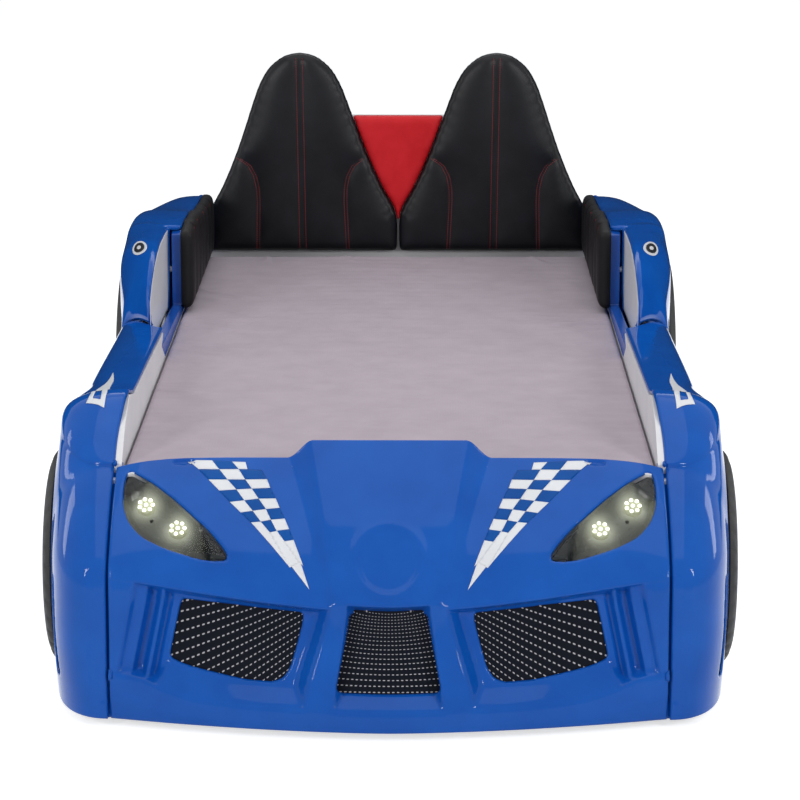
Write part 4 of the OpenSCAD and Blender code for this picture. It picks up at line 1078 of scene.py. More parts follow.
# Lit LED domes
ledLight, tree, shader, places = newMaterial(
    "litLed", Roughness=0.3, Emission_Color=linear("#fbffe6"), Emission_Strength=2.6,
)
# Greenish-grey reflector boards round the domes, with a faint painted glow as if lit by their own domes
ledBoardWithPaintedGlow = mouldedPlastic(
    "ledReflectorAbs", "#9a9d88", "#b4b7a2", 0.3, Emission_Color=linear("#dfe6b4"), Emission_Strength=0.3,
)


def lampFloor(flat):
    inside = -lampGap(flat)
    x, z = np.abs(flat[:, 0]), frontSurface(flat)[:, 2]
    innerPlate = 1 - ease((x - 307 + (319 - z) * 0.43) / 3)
    outerPlate = ease((z - 374 - (432 - x) * 0.6) / 8)
    plate = np.maximum(innerPlate, outerPlate)
    return mix(2 + 29 * ease(inside / 15), 7.0, plate), plate, inside


# The clear lens lies under the rim of its opening and crowns towards its middle
def lensAt(v):
    inside = np.clip(-lampGap(v[:, :2]) / 9, 0, 1)
    drop = 4.5 - 3.2 * np.sqrt(1 - (1 - inside) ** 2)
    return frontSurface(v[:, :2]) - drop[:, None] * normalsOf(frontSurface, v[:, :2])


for sideName, sign in (("right", 1), ("left", -1)):
    xs = sorted((sign * 255, sign * 462))
    tub = flatSheet((xs[0], 10), (xs[1], 215), 3.2, holes=(lambda flat: -0.3 - lampGap(flat),))
    flat = np.array([v.co[:2] for v in tub.verts])
    depth, plate, inside = lampFloor(flat)
    base = frontSurface(flat)
    placed = base - np.stack([0 * depth, 0 * depth, depth + 1], 1)
    reach = [np.linalg.norm(placed - np.array((sign * c.x, c.y, c.z + 6)), axis=1) for c in clusterPlaces]
    # painted halo of light round each cluster, drawn as the tub's emission
    glow = sum(
        0.9 * np.exp(-((r / 20) ** 2)) + 0.16 * np.exp(-((r / 42) ** 2)) for r in reach
    ) * (1 - plate)
    # painted glints on specks near the rim, in the lower part of the tub
    spark = (1 - plate) * np.exp(-((inside / 9) ** 2)) * ease((330 - base[:, 2]) / 20) * 1.6
    for v, p in zip(tub.verts, placed):
        v.co = p
    bmesh.ops.reverse_faces(tub, faces=tub.faces)
    piece = finishPiece(sideName + "LampTub", tub, tubShine, [sideName + "_lamp_housing"])
    setAttribute(piece, "glow", glow)
    setAttribute(piece, "spark", spark)
    addSolidify(piece, lamp["wall"])
    lens = flatSheet((xs[0], 10), (xs[1], 215), 4, holes=(lambda flat: -0.4 - lampGap(flat),), bands=())
    placeVerts(lens, lensAt)
    bmesh.ops.reverse_faces(lens, faces=lens.faces)
    addSolidify(
        finishPiece(sideName + "LampLens", lens, clearLens, [sideName + "_lamp_lens"]), 1.6,
    )
    boards, domes = bmesh.new(), bmesh.new()
    for centre in clusterPlaces:
        turn = (
            Matrix.Translation((sign * centre.x, centre.y, centre.z))
            @ Matrix.Rotation(math.radians(lamp["tilt"]), 4, "X") @ Matrix.Translation((0, 0, lamp["foot"]))
        )
        bmesh.ops.create_cone(
            boards, cap_ends=True, segments=40, radius1=lamp["clusterRadius"],
            radius2=lamp["clusterRadius"] - 1.5, depth=10, matrix=turn @ Matrix.Translation((0, 0, 5)),
        )
        for k in range(lamp["domes"]):
            angle = k * math.tau / (lamp["domes"] - 1)
            ring = lamp["ring"] if k < lamp["domes"] - 1 else 0  # the last dome stands in the middle
            at = Vector((math.cos(angle) * ring, math.sin(angle) * ring, 10))
            bmesh.ops.create_uvsphere(
                domes, u_segments=14, v_segments=8, radius=lamp["domeRadius"],
                matrix=turn @ Matrix.Translation(at),
            )
    finishPiece(sideName + "ClusterBoards", boards, ledBoardWithPaintedGlow)
    finishPiece(sideName + "ClusterDomes", domes, ledLight, [sideName + "_led_pucks"])
print("headlamps made")

# Corner vents: a black ribbed strip behind each slot, its rib crests painted grey as a painted highlight
ventPlastic, tree, shader, places = newMaterial("ribbedBlackAbs", Roughness=0.35)
ribs = addNode(
    tree, "ShaderNodeTexWave", {"Vector": places, "Scale": 1 / 0.009 / 6.28 * 3.14, "Distortion": 0.0},
    bands_direction="Z",
)
ribCrestPaintedHighlight = addNode(
    tree, "ShaderNodeValToRGB", {"Fac": ribs.outputs["Fac"]}, stops=[(0.35, "#0e0f12"), (0.8, "#3c3a38")],
)
tree.links.new(ribCrestPaintedHighlight.outputs["Color"], shader.inputs["Base Color"])
addBump(tree, shader, ribs.outputs["Fac"], 0.8, 0.002)
for sideName in ("right", "left"):
    strip = flatSheet((20, 30), (330, 300), 6, holes=(lambda flat: 7 - ventGap(flat),))
    placeVerts(strip, lambda v: sideAt(v[:, :2]) - 6.5 * outwards(sideAt, v[:, :2]))
    if sideName == "left":
        mirrorAcross(strip)
    addSolidify(
        finishPiece(
            sideName + "VentStrip", strip, ventPlastic, [sideName + "_corner_vent"],
        ),
        2,
    )
print("corner vents made")


# Wheels: spun round +Z, then turned so that +Z points out of the bed
wheel = dict(
    tyreWidth=56, rimShare=0.7, fit=0.3, steps=144, treadDepth=3.6, rimBack=8, rimWall=12, rimDepth=44,
    hub=52, spokes=5, spokeWidth=40, capBase=34.3,
)


def spun(profile, steps):
    shape = bmesh.new()
    verts = [shape.verts.new((r, 0, z)) for r, z in profile]
    edges = [shape.edges.new((a, b)) for a, b in zip(verts, verts[1:] + verts[:1])]
    bmesh.ops.spin(
        shape, geom=verts + edges, cent=(0, 0, 0), axis=(0, 0, 1), angle=math.tau, steps=steps,
        use_merge=True,
    )
    bmesh.ops.remove_doubles(shape, verts=shape.verts, dist=0.01)
    bmesh.ops.recalc_face_normals(shape, faces=shape.faces)
    return shape


def tyreShape(r):
    bead, w = wheel["rimShare"] * r + wheel["fit"], wheel["tyreWidth"]
    wall = r - bead
    profile = [
        (bead, 6), (bead + 2, 1.5), (bead + 0.25 * wall, 0), (bead + 0.62 * wall, 1), (r - 9, 3.5),
        (r - 3, 8), (r - 0.6, 13),
    ]
    for z in (18, 28, 38):
        profile += [
            (r, z - 3.4), (r - 0.2, z - 2.2), (r - 4.4, z - 1.6), (r - 4.4, z + 1.6), (r - 0.2, z + 2.2),
            (r, z + 3.4),
        ]
    profile += [
        (r - 0.6, 43), (r - 3, 47), (r - 9, 51.5), (bead + 0.72 * wall, 53.4), (bead + 0.66 * wall, 55.4),
        (bead + 0.56 * wall, 55.4), (bead + 0.5 * wall, 54),
    ]
    profile += [
        (bead + 0.3 * wall, 54.6), (bead + 0.16 * wall, 54.2), (bead + 0.12 * wall, 52.8), (bead + 2, 51),
        (bead, 47),
    ]
    shape = spun(profile, wheel["steps"])
    for v in shape.verts:
        turn = round(math.atan2(v.co.y, v.co.x) / math.tau * wheel["steps"])
        out = math.hypot(v.co.x, v.co.y)
        if out > r - 7 and turn % 4 == 0:  # every fourth row makes a cross groove in the tread
            v.co.xy *= (out - wheel["treadDepth"]) / out
    return shape


def rimShape(r):
    edge, depth = wheel["rimShare"] * r, wheel["rimDepth"]
    wall = wheel["rimWall"]
    profile = [
        (0, 0), (edge - 3, 0), (edge, 3), (edge, depth - 1), (edge - 2, depth + 2), (edge - 6, depth + 2),
        (edge - 8, depth - 2), (edge - wall, depth - 6),
    ]
    profile += [
        (edge - wall - 2, wheel["rimBack"] + 6), (edge - wall - 8, wheel["rimBack"]),
        (wheel["hub"] + 8, wheel["rimBack"]), (wheel["hub"], wheel["rimBack"] + 6),
    ]
    profile += [(wheel["hub"], 30), (wheel["hub"] - 3, 33.5), (wheel["hub"] - 6, 34), (0, 34)]
    shape = spun(profile, 96)
    inner, outer = wheel["hub"] - 8, edge - wall + 3
    for k in range(wheel["spokes"]):
        spoke = bmesh.new()
        bmesh.ops.create_cube(spoke, size=1)
        along = [e for e in spoke.edges if abs(e.verts[0].co.x - e.verts[1].co.x) > 0.5]
        bmesh.ops.subdivide_edges(spoke, edges=along, cuts=7)
        across = [e for e in spoke.edges if abs(e.verts[0].co.y - e.verts[1].co.y) > 0.5]
        bmesh.ops.subdivide_edges(spoke, edges=across, cuts=2)
        for v in spoke.verts:
            t = v.co.x + 0.5
            half = wheel["spokeWidth"] / 2 * (1.0 - 0.55 * t + 0.5 * t**3)
            top = v.co.z > 0
            centre = abs(v.co.y) < 0.3
            v.co.y *= 2 * half * (0.8 if top else 1.15)
            v.co.z = (
                mix(33.5, 37.0, t) - 5 * math.sin(math.pi * t) - (3.5 if centre else 0) if top
                else wheel["rimBack"] - 2
            )
            v.co.x = mix(inner, outer, t)
        sharp = [e for e in spoke.edges if e.is_manifold and e.calc_face_angle() > 0.5]
        bmesh.ops.bevel(
            spoke, geom=sharp, offset=2.2, offset_type="OFFSET", segments=3, profile=0.5, affect="EDGES",
            material=-1,
        )
        bmesh.ops.rotate(
            spoke, cent=(0, 0, 0), matrix=Matrix.Rotation(math.tau * k / wheel["spokes"], 3, "Z"),
            verts=spoke.verts,
        )
        joined = bpy.data.meshes.new("spoke")
        spoke.to_mesh(joined)
        spoke.free()
        shape.from_mesh(joined)
        bpy.data.meshes.remove(joined)
    return shape


def capShape():
    z = wheel["capBase"]
    return spun(
        [
            (0, z), (45, z), (46, z + 1), (46, z + 4.4), (44.5, z + 6.5), (40, z + 8.4), (36, z + 8.8),
            (34, z + 7.2), (30, z + 7.2), (27, z + 10), (18, z + 12.2), (0, z + 13.6),
        ],
        72,
    )


for endName, place in (("front", frontWheel), ("rear", rearWheel)):
    for sideName, sign in (("right", 1), ("left", -1)):
        x = place["outer"] - wheel["tyreWidth"]
        turn = (
            Matrix.Translation((sign * x, place["y"], place["z"]))
            @ Matrix.Rotation(sign * math.pi / 2, 4, "Y")
        )
        for part, shape, finish, slotName in (
            ("Tyre", tyreShape(place["r"]), tyreRubber, "tyre"),
            ("Rim", rimShape(place["r"]), rimSilver, "rim"),
            ("Cap", capShape(), capSilver, "hub_cap"),
        ):
            bmesh.ops.transform(shape, matrix=turn, verts=shape.verts)
            node = f"{endName}_{sideName}_{dict(Tyre='tyre', Rim='rim', Cap='hub_cap')[part]}"
            piece = finishPiece(endName + sideName.capitalize() + part, shape, finish, [node])
            piece.data.set_sharp_from_angle(angle=math.radians(38))
print("wheels made")


# Cloth: the shape swells a little under pressure between its pinned seams
def swell(shape, pinned, pressure, cap, frames=20):
    mesh = bpy.data.meshes.new("cloth")
    bmesh.ops.scale(shape, vec=(0.001, 0.001, 0.001), verts=shape.verts)
    shape.verts.ensure_lookup_table()
    fixed = [v.index for v in shape.verts if pinned(v.co * 1000)]
    start = np.array([v.co[:] for v in shape.verts])
    shape.to_mesh(mesh)
    piece = bpy.data.objects.new("cloth", mesh)
    scene.collection.objects.link(piece)
    piece.vertex_groups.new(name="seams").add(fixed, 1.0, "REPLACE")
    cloth = piece.modifiers.new("cloth", "CLOTH")
    cloth.settings.quality = 6
    cloth.settings.mass = 0.3
    cloth.settings.tension_stiffness = 12
    cloth.settings.compression_stiffness = 12
    cloth.settings.bending_stiffness = 0.8
    cloth.settings.vertex_group_mass = "seams"
    cloth.settings.use_pressure = True
    cloth.settings.uniform_pressure_force = pressure
    cloth.settings.effector_weights.gravity = 0
    cloth.collision_settings.use_collision = False
    for step in range(1, frames + 1):
        scene.frame_set(step)
    settled = piece.evaluated_get(bpy.context.evaluated_depsgraph_get())
    end = np.array([v.co[:] for v in settled.data.vertices])
    scene.frame_set(1)
    bpy.data.objects.remove(piece)
    bpy.data.meshes.remove(mesh)
    moved = end - start
    far = np.linalg.norm(moved, axis=1)
    moved *= np.minimum(1, cap * 0.001 / np.maximum(far, 1e-9))[:, None]
    for v, p in zip(shape.verts, (start + moved) * 1000):
        v.co = p
    return shape


# Stitches: short capsules laid along a line of points, one every pitch millimetres
def stitchLine(shape, line, pitch, length, radius, normal):
    line = np.array(line, float)
    steps = np.linalg.norm(np.diff(line, axis=0), axis=1)
    at = np.concatenate([[0], np.cumsum(steps)])
    for d in np.arange(pitch, at[-1] - pitch, pitch):
        a = Vector([np.interp(d - length / 2, at, line[:, k]) for k in range(3)])
        b = Vector([np.interp(d + length / 2, at, line[:, k]) for k in range(3)])
        turn = (b - a).to_track_quat("Z", "Y").to_matrix().to_4x4()
        bead = bmesh.ops.create_icosphere(shape, subdivisions=1, radius=1)["verts"]
        for v in bead:
            v.co = Vector((v.co.x * radius, v.co.y * radius, v.co.z * length / 2))
        bmesh.ops.transform(
            shape, matrix=Matrix.Translation((a + b) / 2 + Vector(normal) * radius * 0.3) @ turn,
            verts=bead,
        )


# Mattress in its jersey sheet: flat points (x, y) fold down over the rounded edge
bed = dict(halfWidth=454, length=1900, thickness=130, edge=9, crown=3, cell=5.6)
bedLow, bedHigh = lowOf("mattress"), highOf("mattress")
bedMiddle = (bedLow.y + bedHigh.y) / 2
pulls = [
    # where a wrinkle starts (x, y), its direction in degrees, length, width and height
    (-446, 300, 12, 210, 9, 3.4), (-446, 272, 2, 170, 8, 3.0), (-446, 236, -10, 230, 10, 3.6),
    (-446, 332, 30, 150, 8, 2.8),
    (-446, 120, -14, 130, 7, 2.0), (-446, 60, -4, 190, 8, 2.4), (-446, 30, -12, 150, 7, 2.2),
    (-446, -60, -20, 120, 7, 1.8),
    (-446, -250, -30, 110, 7, 1.6), (-446, -300, -24, 140, 7, 1.8), (-446, 640, -34, 200, 10, 3.0),
    (-446, 560, -28, 180, 9, 2.6),
    (446, 330, 172, 170, 9, 2.6), (446, 290, 184, 200, 9, 2.8), (446, 240, 192, 150, 8, 2.2),
    (446, 120, 188, 130, 8, 1.6), (446, -120, 196, 120, 8, 1.4),
    (-300, 1020, -100, 90, 9, 1.8), (-120, 1022, -84, 80, 9, 1.5), (140, 1022, -95, 90, 9, 1.5),
    (320, 1020, -80, 100, 9, 1.8),
]


def wrinkles(x, y):
    height = 0
    for px, py, degrees, length, width, rise in pulls:
        c, s = math.cos(math.radians(degrees)), math.sin(math.radians(degrees))
        along, across = (x - px) * c + (y - py) * s, -(x - px) * s + (y - py) * c
        across = across + 6 * np.sin(along / 34 + py)
        fade = ease((along + 25) / 30) * (1 - ease((along - length * 0.35) / (length * 0.65)))
        wide = 0.8 * width * (0.7 + along.clip(0) / length)
        height = height + 1.6 * rise * fade * (
            np.exp(-((across / wide) ** 2)) - 0.55 * np.exp(-(((across - 1.9 * wide) / wide) ** 2))
        )
    for fx, fy, ax, ay, rise, shift in (
        (0.013, 0.004, 9, 4, 0.7, 0.3), (0.006, 0.017, 5, 8, 0.6, 1.9), (0.021, 0.011, 3, 6, 0.4, 4.0),
    ):
        height = (
            height
            + rise * np.sin(fx * x + 0.7 * np.sin(fy * y * ax) + shift)
            * np.sin(fy * y * ay + 0.9 * np.sin(fx * x * 3) + shift)
        )
    return height


def mattressAt(v):
    x, y = v[:, 0], v[:, 1]
    innerX, innerY = bed["halfWidth"] - bed["edge"], bed["length"] / 2 - bed["edge"]
    baseX, baseY = np.clip(x, -innerX, innerX), np.clip(y, -innerY, innerY)
    out = np.hypot(x - baseX, y - baseY)
    wayX, wayY = (x - baseX) / np.maximum(out, 1e-6), (y - baseY) / np.maximum(out, 1e-6)
    turn = np.minimum(out / bed["edge"], math.pi / 2)
    reach, fall = bed["edge"] * np.sin(turn), bed["edge"] * (1 - np.cos(turn))
    fall = fall + np.maximum(out - bed["edge"] * math.pi / 2, 0)
    crown = bed["crown"] * (1 - (x / 520) ** 2).clip(0) * (1 - (y / 1000) ** 4).clip(0)
    top = 1 - ease(out / 40)
    z = bedHigh.z - bed["crown"] - fall + crown + wrinkles(x, y + bedMiddle) * (0.25 + 0.75 * top)
    return np.stack(
        [baseX + wayX * reach, baseY + wayY * reach + bedMiddle, np.maximum(z, bedLow.z + 1)], 1,
    )


def mattressEdge(flat):
    overX = np.abs(flat[:, 0]) - bed["halfWidth"] + 2
    return np.maximum(overX, np.abs(flat[:, 1]) - bed["length"] / 2 + 2)


reach = bed["edge"] * math.pi / 2 - bed["edge"] + bed["thickness"] - bed["edge"] - 8
halfX, halfY = bed["halfWidth"] + reach, bed["length"] / 2 + reach
mattress = flatSheet(
    (-halfX, -halfY), (halfX, halfY), bed["cell"],
    lines=(mattressEdge,), bands=(7,),
)
placeVerts(mattress, mattressAt)
bmesh.ops.contextual_create(mattress, geom=[e for e in mattress.edges if e.is_boundary])
mattressPiece = finishPiece("mattressInSheet", mattress, jerseySheet, ["mattress"])
print("mattress made")


# Seat backs: leatherette over foam, sewn along a double centre seam and two side seams
seat = dict(
    gap=2, sideGap=9, height=468, lean=6, thickness=46, fit=0.3, cell=9, pressure=7, cap=17,
    # half width at each share of the height
    outline=[
        (0, 0.985), (0.03, 0.995), (0.1, 1), (0.16, 1), (0.22, 0.965), (0.27, 0.905), (0.32, 0.845),
        (0.42, 0.75), (0.52, 0.665), (0.62, 0.59),
        (0.72, 0.52), (0.82, 0.445), (0.875, 0.39), (0.925, 0.32), (0.955, 0.25), (0.978, 0.175),
        (0.993, 0.1), (1, 0),
    ],
    # side seam: half distance from the middle at each height over the foot, in millimetres
    sideSeam=[(0, 106), (120, 102), (150, 103), (180, 109), (205, 122), (222, 146), (230, 172)],
    seatFoot=2,
)
seat["width"] = inX - seat["sideGap"] - seat["gap"]


def seatLine():
    half = [(w * seat["width"] / 2, h * seat["height"]) for h, w in seat["outline"]]
    return np.array(half + [(-x, z) for x, z in half[-2::-1]])


seatRound = roundCorners([tuple(p) for p in seatLine()], 12, 2)
sideSeamLine = [(x, z) for z, x in seat["sideSeam"]]


def lineGap(points, line):
    nearest = np.full(len(points), 1e9)
    for a, b in zip(line[:-1], line[1:]):
        a, b = np.array(a, float), np.array(b, float)
        share = np.clip(((points - a) @ (b - a)) / ((b - a) @ (b - a)), 0, 1)
        nearest = np.minimum(nearest, np.hypot(*(points - a - share[:, None] * (b - a)).T))
    return nearest


def seamGap(points):
    folded = np.stack([np.abs(points[:, 0]), points[:, 1]], 1)
    return np.minimum(np.abs(folded[:, 0] - 6), lineGap(folded, sideSeamLine))


def seatFront(points):
    inside = np.clip(-outlineGap(points, seatRound), 0, 30)
    puff = seat["thickness"] - 16 + 9 * np.sqrt(1 - (1 - inside / 30) ** 2)
    near = np.abs(seamGap(points))
    channel = np.where(np.abs(points[:, 0]) < 6, 1, np.exp(-((near / 5) ** 2)))
    return puff - 3.5 * channel


def seatBody():
    shape = flatSheet(
        (-230, -2), (230, 472), seat["cell"], holes=(lambda flat: -outlineGap(flat, seatRound),), bands=(),
    )
    raiseFace(shape, seatFront)
    bmesh.ops.recalc_face_normals(shape, faces=shape.faces)
    swell(
        shape,
        lambda p: p.z < 1 or p.z > 1 and seamGap(np.array([[p.x, p.y]]))[0] < seat["cell"] * 0.55
        or -outlineGap(np.array([[p.x, p.y]]), seatRound)[0] < 1,
        seat["pressure"], seat["cap"],
    )
    return shape


def seatPlace(sign, p):
    x = sign * (seat["width"] + seat["gap"]) / 2
    return Vector(
        (
            x + p[0] + sign * seat["lean"] * p[1] / seat["height"], headY - seat["fit"] - p[2],
            sleepZ + seat["seatFoot"] + p[1],
        )
    )


for sideName, sign in (("right", 1), ("left", -1)):
    shape = seatBody()
    for v in shape.verts:
        v.co = seatPlace(sign, (v.co.x, v.co.y, v.co.z))
    bmesh.ops.recalc_face_normals(shape, faces=shape.faces)
    tree = BVHTree.FromBMesh(shape)
    piece = finishPiece(
        sideName + "SeatBack", shape, blackLeatherette, [sideName + "_seat_pad"],
    )
    addSmooth(piece)
    threads = bmesh.new()
    for offset in (-7.5, 7.5):
        rows = [[(offset, z) for z in np.arange(4, 464, 6)]]
        for mirror in (1, -1):
            rows.append(
                [
                    (mirror * (np.interp(z, *zip(*seat["sideSeam"])) + offset * 0.45), z)
                    for z in np.arange(4, 229, 5)
                ]
            )
        for row in rows:
            line = []
            for x, z in row:
                start = seatPlace(sign, (x, z, 120))
                hit = tree.ray_cast(start, Vector((0, 1, 0)), 200)
                if hit[0]:
                    line.append(hit[0])
            if len(line) > 3:
                stitchLine(threads, line, 5.2, 3.9, 0.75, (0, -1, 0))
    finishPiece(sideName + "SeatThreads", threads, redThread)
    print(sideName, "seat back made")


# Red pad between the seat backs
redPad = dict(rise=322, halfTop=118, thickness=24, cell=9, low=60)
redLine = roundCorners(
    [
        (-redPad["halfTop"], redPad["rise"]), (redPad["halfTop"], redPad["rise"]),
        (seat["width"] / 2, redPad["low"]), (-seat["width"] / 2, redPad["low"]),
    ],
    6, 3,
)


def redGap(flat):
    outside = outlineGap(flat, redLine)
    for sign in (1, -1):
        local = np.stack(
            [
                flat[:, 0] - sign * (
                    (seat["width"] + seat["gap"]) / 2 + seat["lean"] * flat[:, 1] / seat["height"]
                ),
                flat[:, 1] - seat["seatFoot"],
            ],
            1,
        )
        outside = np.maximum(outside, 0.5 - outlineGap(local, seatRound))
    return outside


def redDepth(flat):
    inside = np.clip(-redGap(flat) / 16, 0, 1)
    return redPad["thickness"] - 7 + 8 * np.sqrt(1 - (1 - inside) ** 2)


pad = flatSheet((-130, 40), (130, 326), redPad["cell"], holes=(lambda flat: -redGap(flat),), bands=(8,))
raiseFace(pad, redDepth)
for v in pad.verts:
    v.co = (v.co.x, headY - 0.3 - v.co.z, sleepZ + v.co.y)
bmesh.ops.recalc_face_normals(pad, faces=pad.faces)
redPiece = finishPiece("redPadSkin", pad, redLeatherette, ["red_centre_pad"])
addSmooth(redPiece)
print("red pad made")


# Guard pads: upright sewn channels with red threads
guardPad = dict(thickness=27, cell=9, channels=7, front=guardY - 26, rear=headY - 66, foot=sleepZ + 8)
padTop = smoothLine(
    [
        (guardPad["front"], sleepZ + 176), (guardY + 68, sleepZ + 182), (guardY + 218, sleepZ + 177),
        (guardY + 318, sleepZ + 162), (guardPad["rear"], sleepZ + 145),
    ]
)
padSeams = np.linspace(guardPad["front"], guardPad["rear"], guardPad["channels"] + 1)[1:-1]
padLine = roundCorners(
    [(guardPad["front"], guardPad["foot"])] + [
        (y, float(padTop(y))) for y in np.linspace(guardPad["front"], guardPad["rear"], 14)
    ] + [(guardPad["rear"], guardPad["foot"])], 9, 3
)


def padDepth(flat):
    inside = np.clip(-outlineGap(flat, padLine), 0, 16)
    near = np.min(np.abs(flat[:, 0][:, None] - padSeams[None, :]), axis=1)
    return (
        guardPad["thickness"] - 10 + 10 * np.sqrt(1 - (1 - inside / 16) ** 2)
        - 6 * np.exp(-((near / 6) ** 2)) - 0.8
    )


for sideName, sign in (("right", 1), ("left", -1)):
    shape = flatSheet(
        (guardPad["front"] - 2, guardPad["foot"] - 2), (guardPad["rear"] + 2, sleepZ + 186),
        guardPad["cell"], holes=(lambda flat: -outlineGap(flat, padLine),), bands=(),
    )
    raiseFace(shape, padDepth)
    bmesh.ops.recalc_face_normals(shape, faces=shape.faces)
    swell(
        shape,
        lambda p: p.z < 1 or min(abs(p.x - padSeams)) < guardPad["cell"] * 0.55
        or -outlineGap(np.array([[p.x, p.y]]), padLine)[0] < 1,
        4, 5,
    )
    for v in shape.verts:
        v.co = (sign * (inX - 0.3 - v.co.z), v.co.x, v.co.y)
    bmesh.ops.recalc_face_normals(shape, faces=shape.faces)
    tree = BVHTree.FromBMesh(shape)
    piece = finishPiece(
        sideName + "GuardPadSkin", shape, padLeatherette, [sideName + "_guard_pad"],
    )
    addSmooth(piece)
    threads = bmesh.new()
    for seamAt in padSeams:
        for offset in (-4.5, 4.5):
            line = []
            for z in np.arange(guardPad["foot"] + 4, float(padTop(seamAt)) - 3, 6):
                hit = tree.ray_cast(Vector((0, seamAt + offset, z)), Vector((sign, 0, 0)), 600)
                if hit[0]:
                    line.append(hit[0])
            if len(line) > 3:
                stitchLine(threads, line, 5.2, 3.9, 0.75, (-sign, 0, 0))
    finishPiece(sideName + "GuardPadThreads", threads, redThread)
print("guard pads made")


# CAD nodes that stay: edges eased by a small bevel, and each in its own finish
def dress(node, finish, bevel):
    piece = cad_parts[node]
    piece.data.materials.clear()
    piece.data.materials.append(finish)
    weld = piece.modifiers.new("weld", "WELD")
    weld.merge_threshold = 0.00002
    if bevel:
        eased = piece.modifiers.new("eased", "BEVEL")
        eased.width = bevel * 0.001
        eased.segments = 2
        eased.limit_method = "ANGLE"
        eased.angle_limit = math.radians(40)


for nodes, finish, bevel in (
    (("left_side_board", "right_side_board", "foot_board", "head_board"), whiteBoard, 1.4),
    (("left_guard_board", "right_guard_board"), blueBoard, 2.0),
    (("slats",), pineAcross, 2.0),
    (("left_slat_ledger", "right_slat_ledger", "centre_beam", "shell_blocks"), pineAlong, 1.5),
    (("centre_legs",), pineUpright, 1.5),
    (("wheel_spacers",), pineUpright, 0.8),
    (("wheel_bolts", "corner_brackets", "bracket_screws"), zincSteel, 0.4),
    (("guard_spacers", "cable_clips"), whitePlastic, 0.4),
    (("floor_glides", "switch_box"), blackPlastic, 0.6),
    (("power_button",), redPlastic, 0.7),
    (("lamp_cables",), cableSheath, 0),
):
    for node in nodes:
        dress(node, finish, bevel)
print("boards, slats and fixings dressed")


# Decals: cut vinyl that lies on the shells, a printed satin film
whiteVinyl = mouldedPlastic("whiteVinylFilm", "#d4d6da", "#dcdee2", 0.32, 0.004)
blueVinyl = mouldedPlastic("blueVinylFilm", "#00458f", "#00509f", 0.3, 0.004, Specular_IOR_Level=0.12)
blackVinyl = mouldedPlastic("blackVinylFilm", "#121316", "#18191d", 0.35, 0.004)
decal = dict(lift=0.7, film=0.3, cell=5)
# chequered flag: corners (x, s) of each row, from the outer edge inwards
flagRows = [
    [(344, 9), (302, 11), (268, 14), (245, 15)], [(324, 33), (289, 33), (256, 32), (241, 32)],
    [(306, 58), (274, 57), (244, 56), (207, 54)],
    [(287, 83), (258, 79), (232, 76), (201, 73)], [(268, 107), (244, 102), (220, 97), (191, 95)],
    [(249, 128), (229, 123), (207, 118), (184, 114)],
    [(231, 147), (215, 144), (198, 139), (175, 135)], [None, (199, 164), (188, 160), (167, 155)],
    [None, None, (174, 179), (159, 175)],
]
flagSpear = [
    [(231, 147), (215, 144), (199, 164), (164, 226)], [(199, 164), (187, 160), (149, 215), (164, 226)],
    [(187, 160), (174, 179), (142, 221), (149, 215)],
    [(174, 179), (159, 175), (142, 221)], [(162, 223), (147, 214), (131, 261)],
]


def addPatch(sheet, outline):
    points = np.array(outline, float)
    low, high = points.min(0) - 1, points.max(0) + 1
    patch = flatSheet(low, high, decal["cell"])
    middle = points.mean(0)
    for a, b in zip(points, np.roll(points, -1, axis=0)):
        out = np.array((b[1] - a[1], a[0] - b[0]))
        out = out * np.sign((a - middle) @ out)
        bmesh.ops.bisect_plane(
            patch, geom=patch.verts[:] + patch.edges[:] + patch.faces[:], dist=0.001, plane_co=(*a, 0),
            plane_no=(*out, 0), clear_outer=True,
        )
    part = bpy.data.meshes.new("part")
    patch.to_mesh(part)
    patch.free()
    sheet.from_mesh(part)
    bpy.data.meshes.remove(part)


def layOn(relief, normals):
    return lambda v: relief(v[:, :2]) + decal["lift"] * normals(v[:, :2])


def addDecal(name, sheet, film, where, flip):
    placeVerts(sheet, where)
    if flip:
        bmesh.ops.reverse_faces(sheet, faces=sheet.faces)
    return addSolidify(finishPiece(name, sheet, film), decal["film"], 0)


flags = {whiteVinyl: bmesh.new(), blueVinyl: bmesh.new()}
for row, (upper, lower) in enumerate(zip(flagRows, flagRows[1:])):
    upper = [*upper[:3], (217, 33)] if row == 1 else upper
    for k in range(3):
        corners = [upper[k], upper[k + 1], lower[k + 1], lower[k]]
        if None not in corners:
            for sign in (1, -1):
                addPatch(flags[(whiteVinyl, blueVinyl)[(row + k) % 2]], [(sign * x, s) for x, s in corners])
for piece in flagSpear:
    for sign in (1, -1):
        addPatch(flags[whiteVinyl], [(sign * x, s) for x, s in piece])
onFront = layOn(frontRelief, lambda flat: normalsOf(frontSurface, flat))
addDecal("flagWhites", flags[whiteVinyl], whiteVinyl, onFront, True)
addDecal("flagBlues", flags[blueVinyl], blueVinyl, onFront, True)

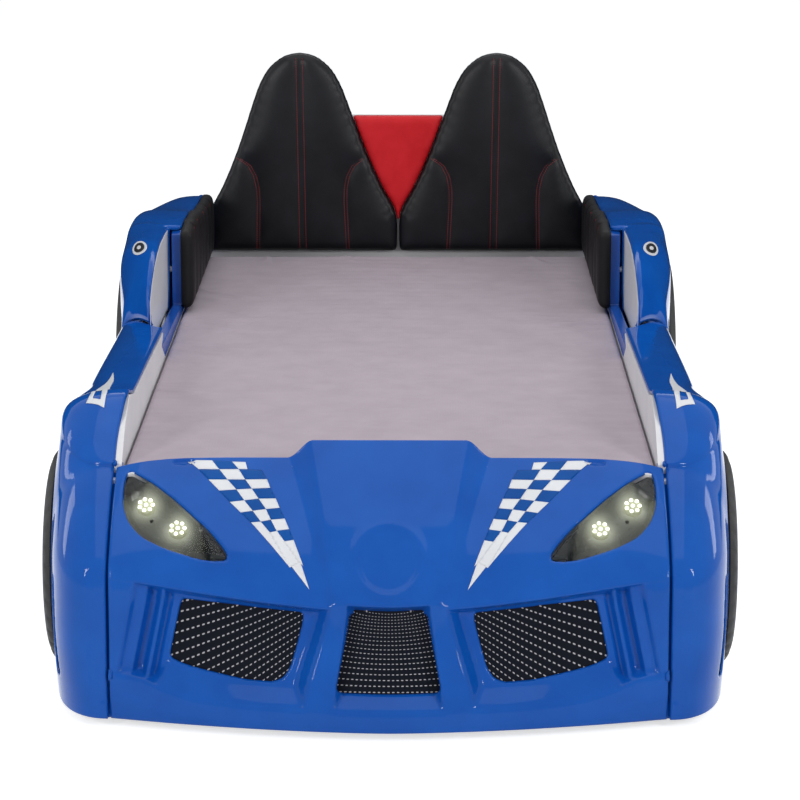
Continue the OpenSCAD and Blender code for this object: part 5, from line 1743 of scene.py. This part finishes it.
# Flash on each front fender: a white outline round a bare middle, in flat points (a, b)
flashLine = np.array([
    (512, 495.5), (397, 506), (328, 509), (262, 512.5), (219, 515), (196, 515), (184, 515), (190.5, 507.5),
    (195, 500),
    (199.5, 489.5), (210, 492), (228, 494), (268, 493), (306, 492), (373, 496), (438, 495.5),
])
flashHollow = np.array(
    [
        (296, 501.5), (255, 506), (211.5, 509), (201, 509), (204, 504.5), (207, 498.5), (226, 499.5),
        (262, 500),
    ]
)
# Wing panel on the inner wall of each quarter, in (y, z)
wingPanel = np.array([
    (-8, sleepZ + 8), (-10, 505), (38, 533), (99, 556), (171, 572), (243, 579), (338, 579), (428, 575),
    (424, 498), (406, sleepZ + 8),
])
roundMark = dict(a=172, b=525, stretch=2.1)
# outer radius, inner radius and film of each ring
markRings = [(18, 13, whiteVinyl), (13, 5, blackVinyl), (5, -1, whiteVinyl)]


def folded(surface, sign):
    return lambda v: surface(v) * (sign, 1, 1)


def markGap(f):
    return np.hypot((f[:, 0] - roundMark["a"]) / roundMark["stretch"], f[:, 1] - roundMark["b"])


for sideName, sign in (("right", 1), ("left", -1)):
    flash = flatSheet(
        flashLine.min(0) - 4, flashLine.max(0) + 4, 1.7, bands=(),
        holes=(lambda f: -outlineGap(f, flashLine), lambda f: outlineGap(f, flashHollow)),
    )
    addDecal(
        sideName + "Flash", flash, whiteVinyl,
        folded(layOn(sideRelief, lambda f: outwards(sideAt, f)), sign), sign < 0,
    )
    wing = flatSheet(
        wingPanel.min(0) - 6, wingPanel.max(0) + 6, 7, holes=(lambda f: -outlineGap(f, wingPanel),),
    )
    addDecal(
        sideName + "WingPanel", wing, whiteVinyl,
        lambda v: np.stack([np.full(len(v), sign * (tail["slitX"] - decal["lift"])), v[:, 0], v[:, 1]], 1),
        sign > 0,
    )
    for radius, inner, film in markRings:
        centre = np.array((roundMark["a"], roundMark["b"]))
        mark = flatSheet(
            centre - (44, 21), centre + (44, 21), 1.6,
            holes=(lambda f: radius - markGap(f), lambda f: markGap(f) - inner), bands=(),
        )
        addDecal(
            sideName + "RoundMark" + str(radius), mark, film,
            folded(layOn(quarterRelief, lambda f: outwards(quarterAt, f)), sign), sign < 0,
        )
print("decals made")
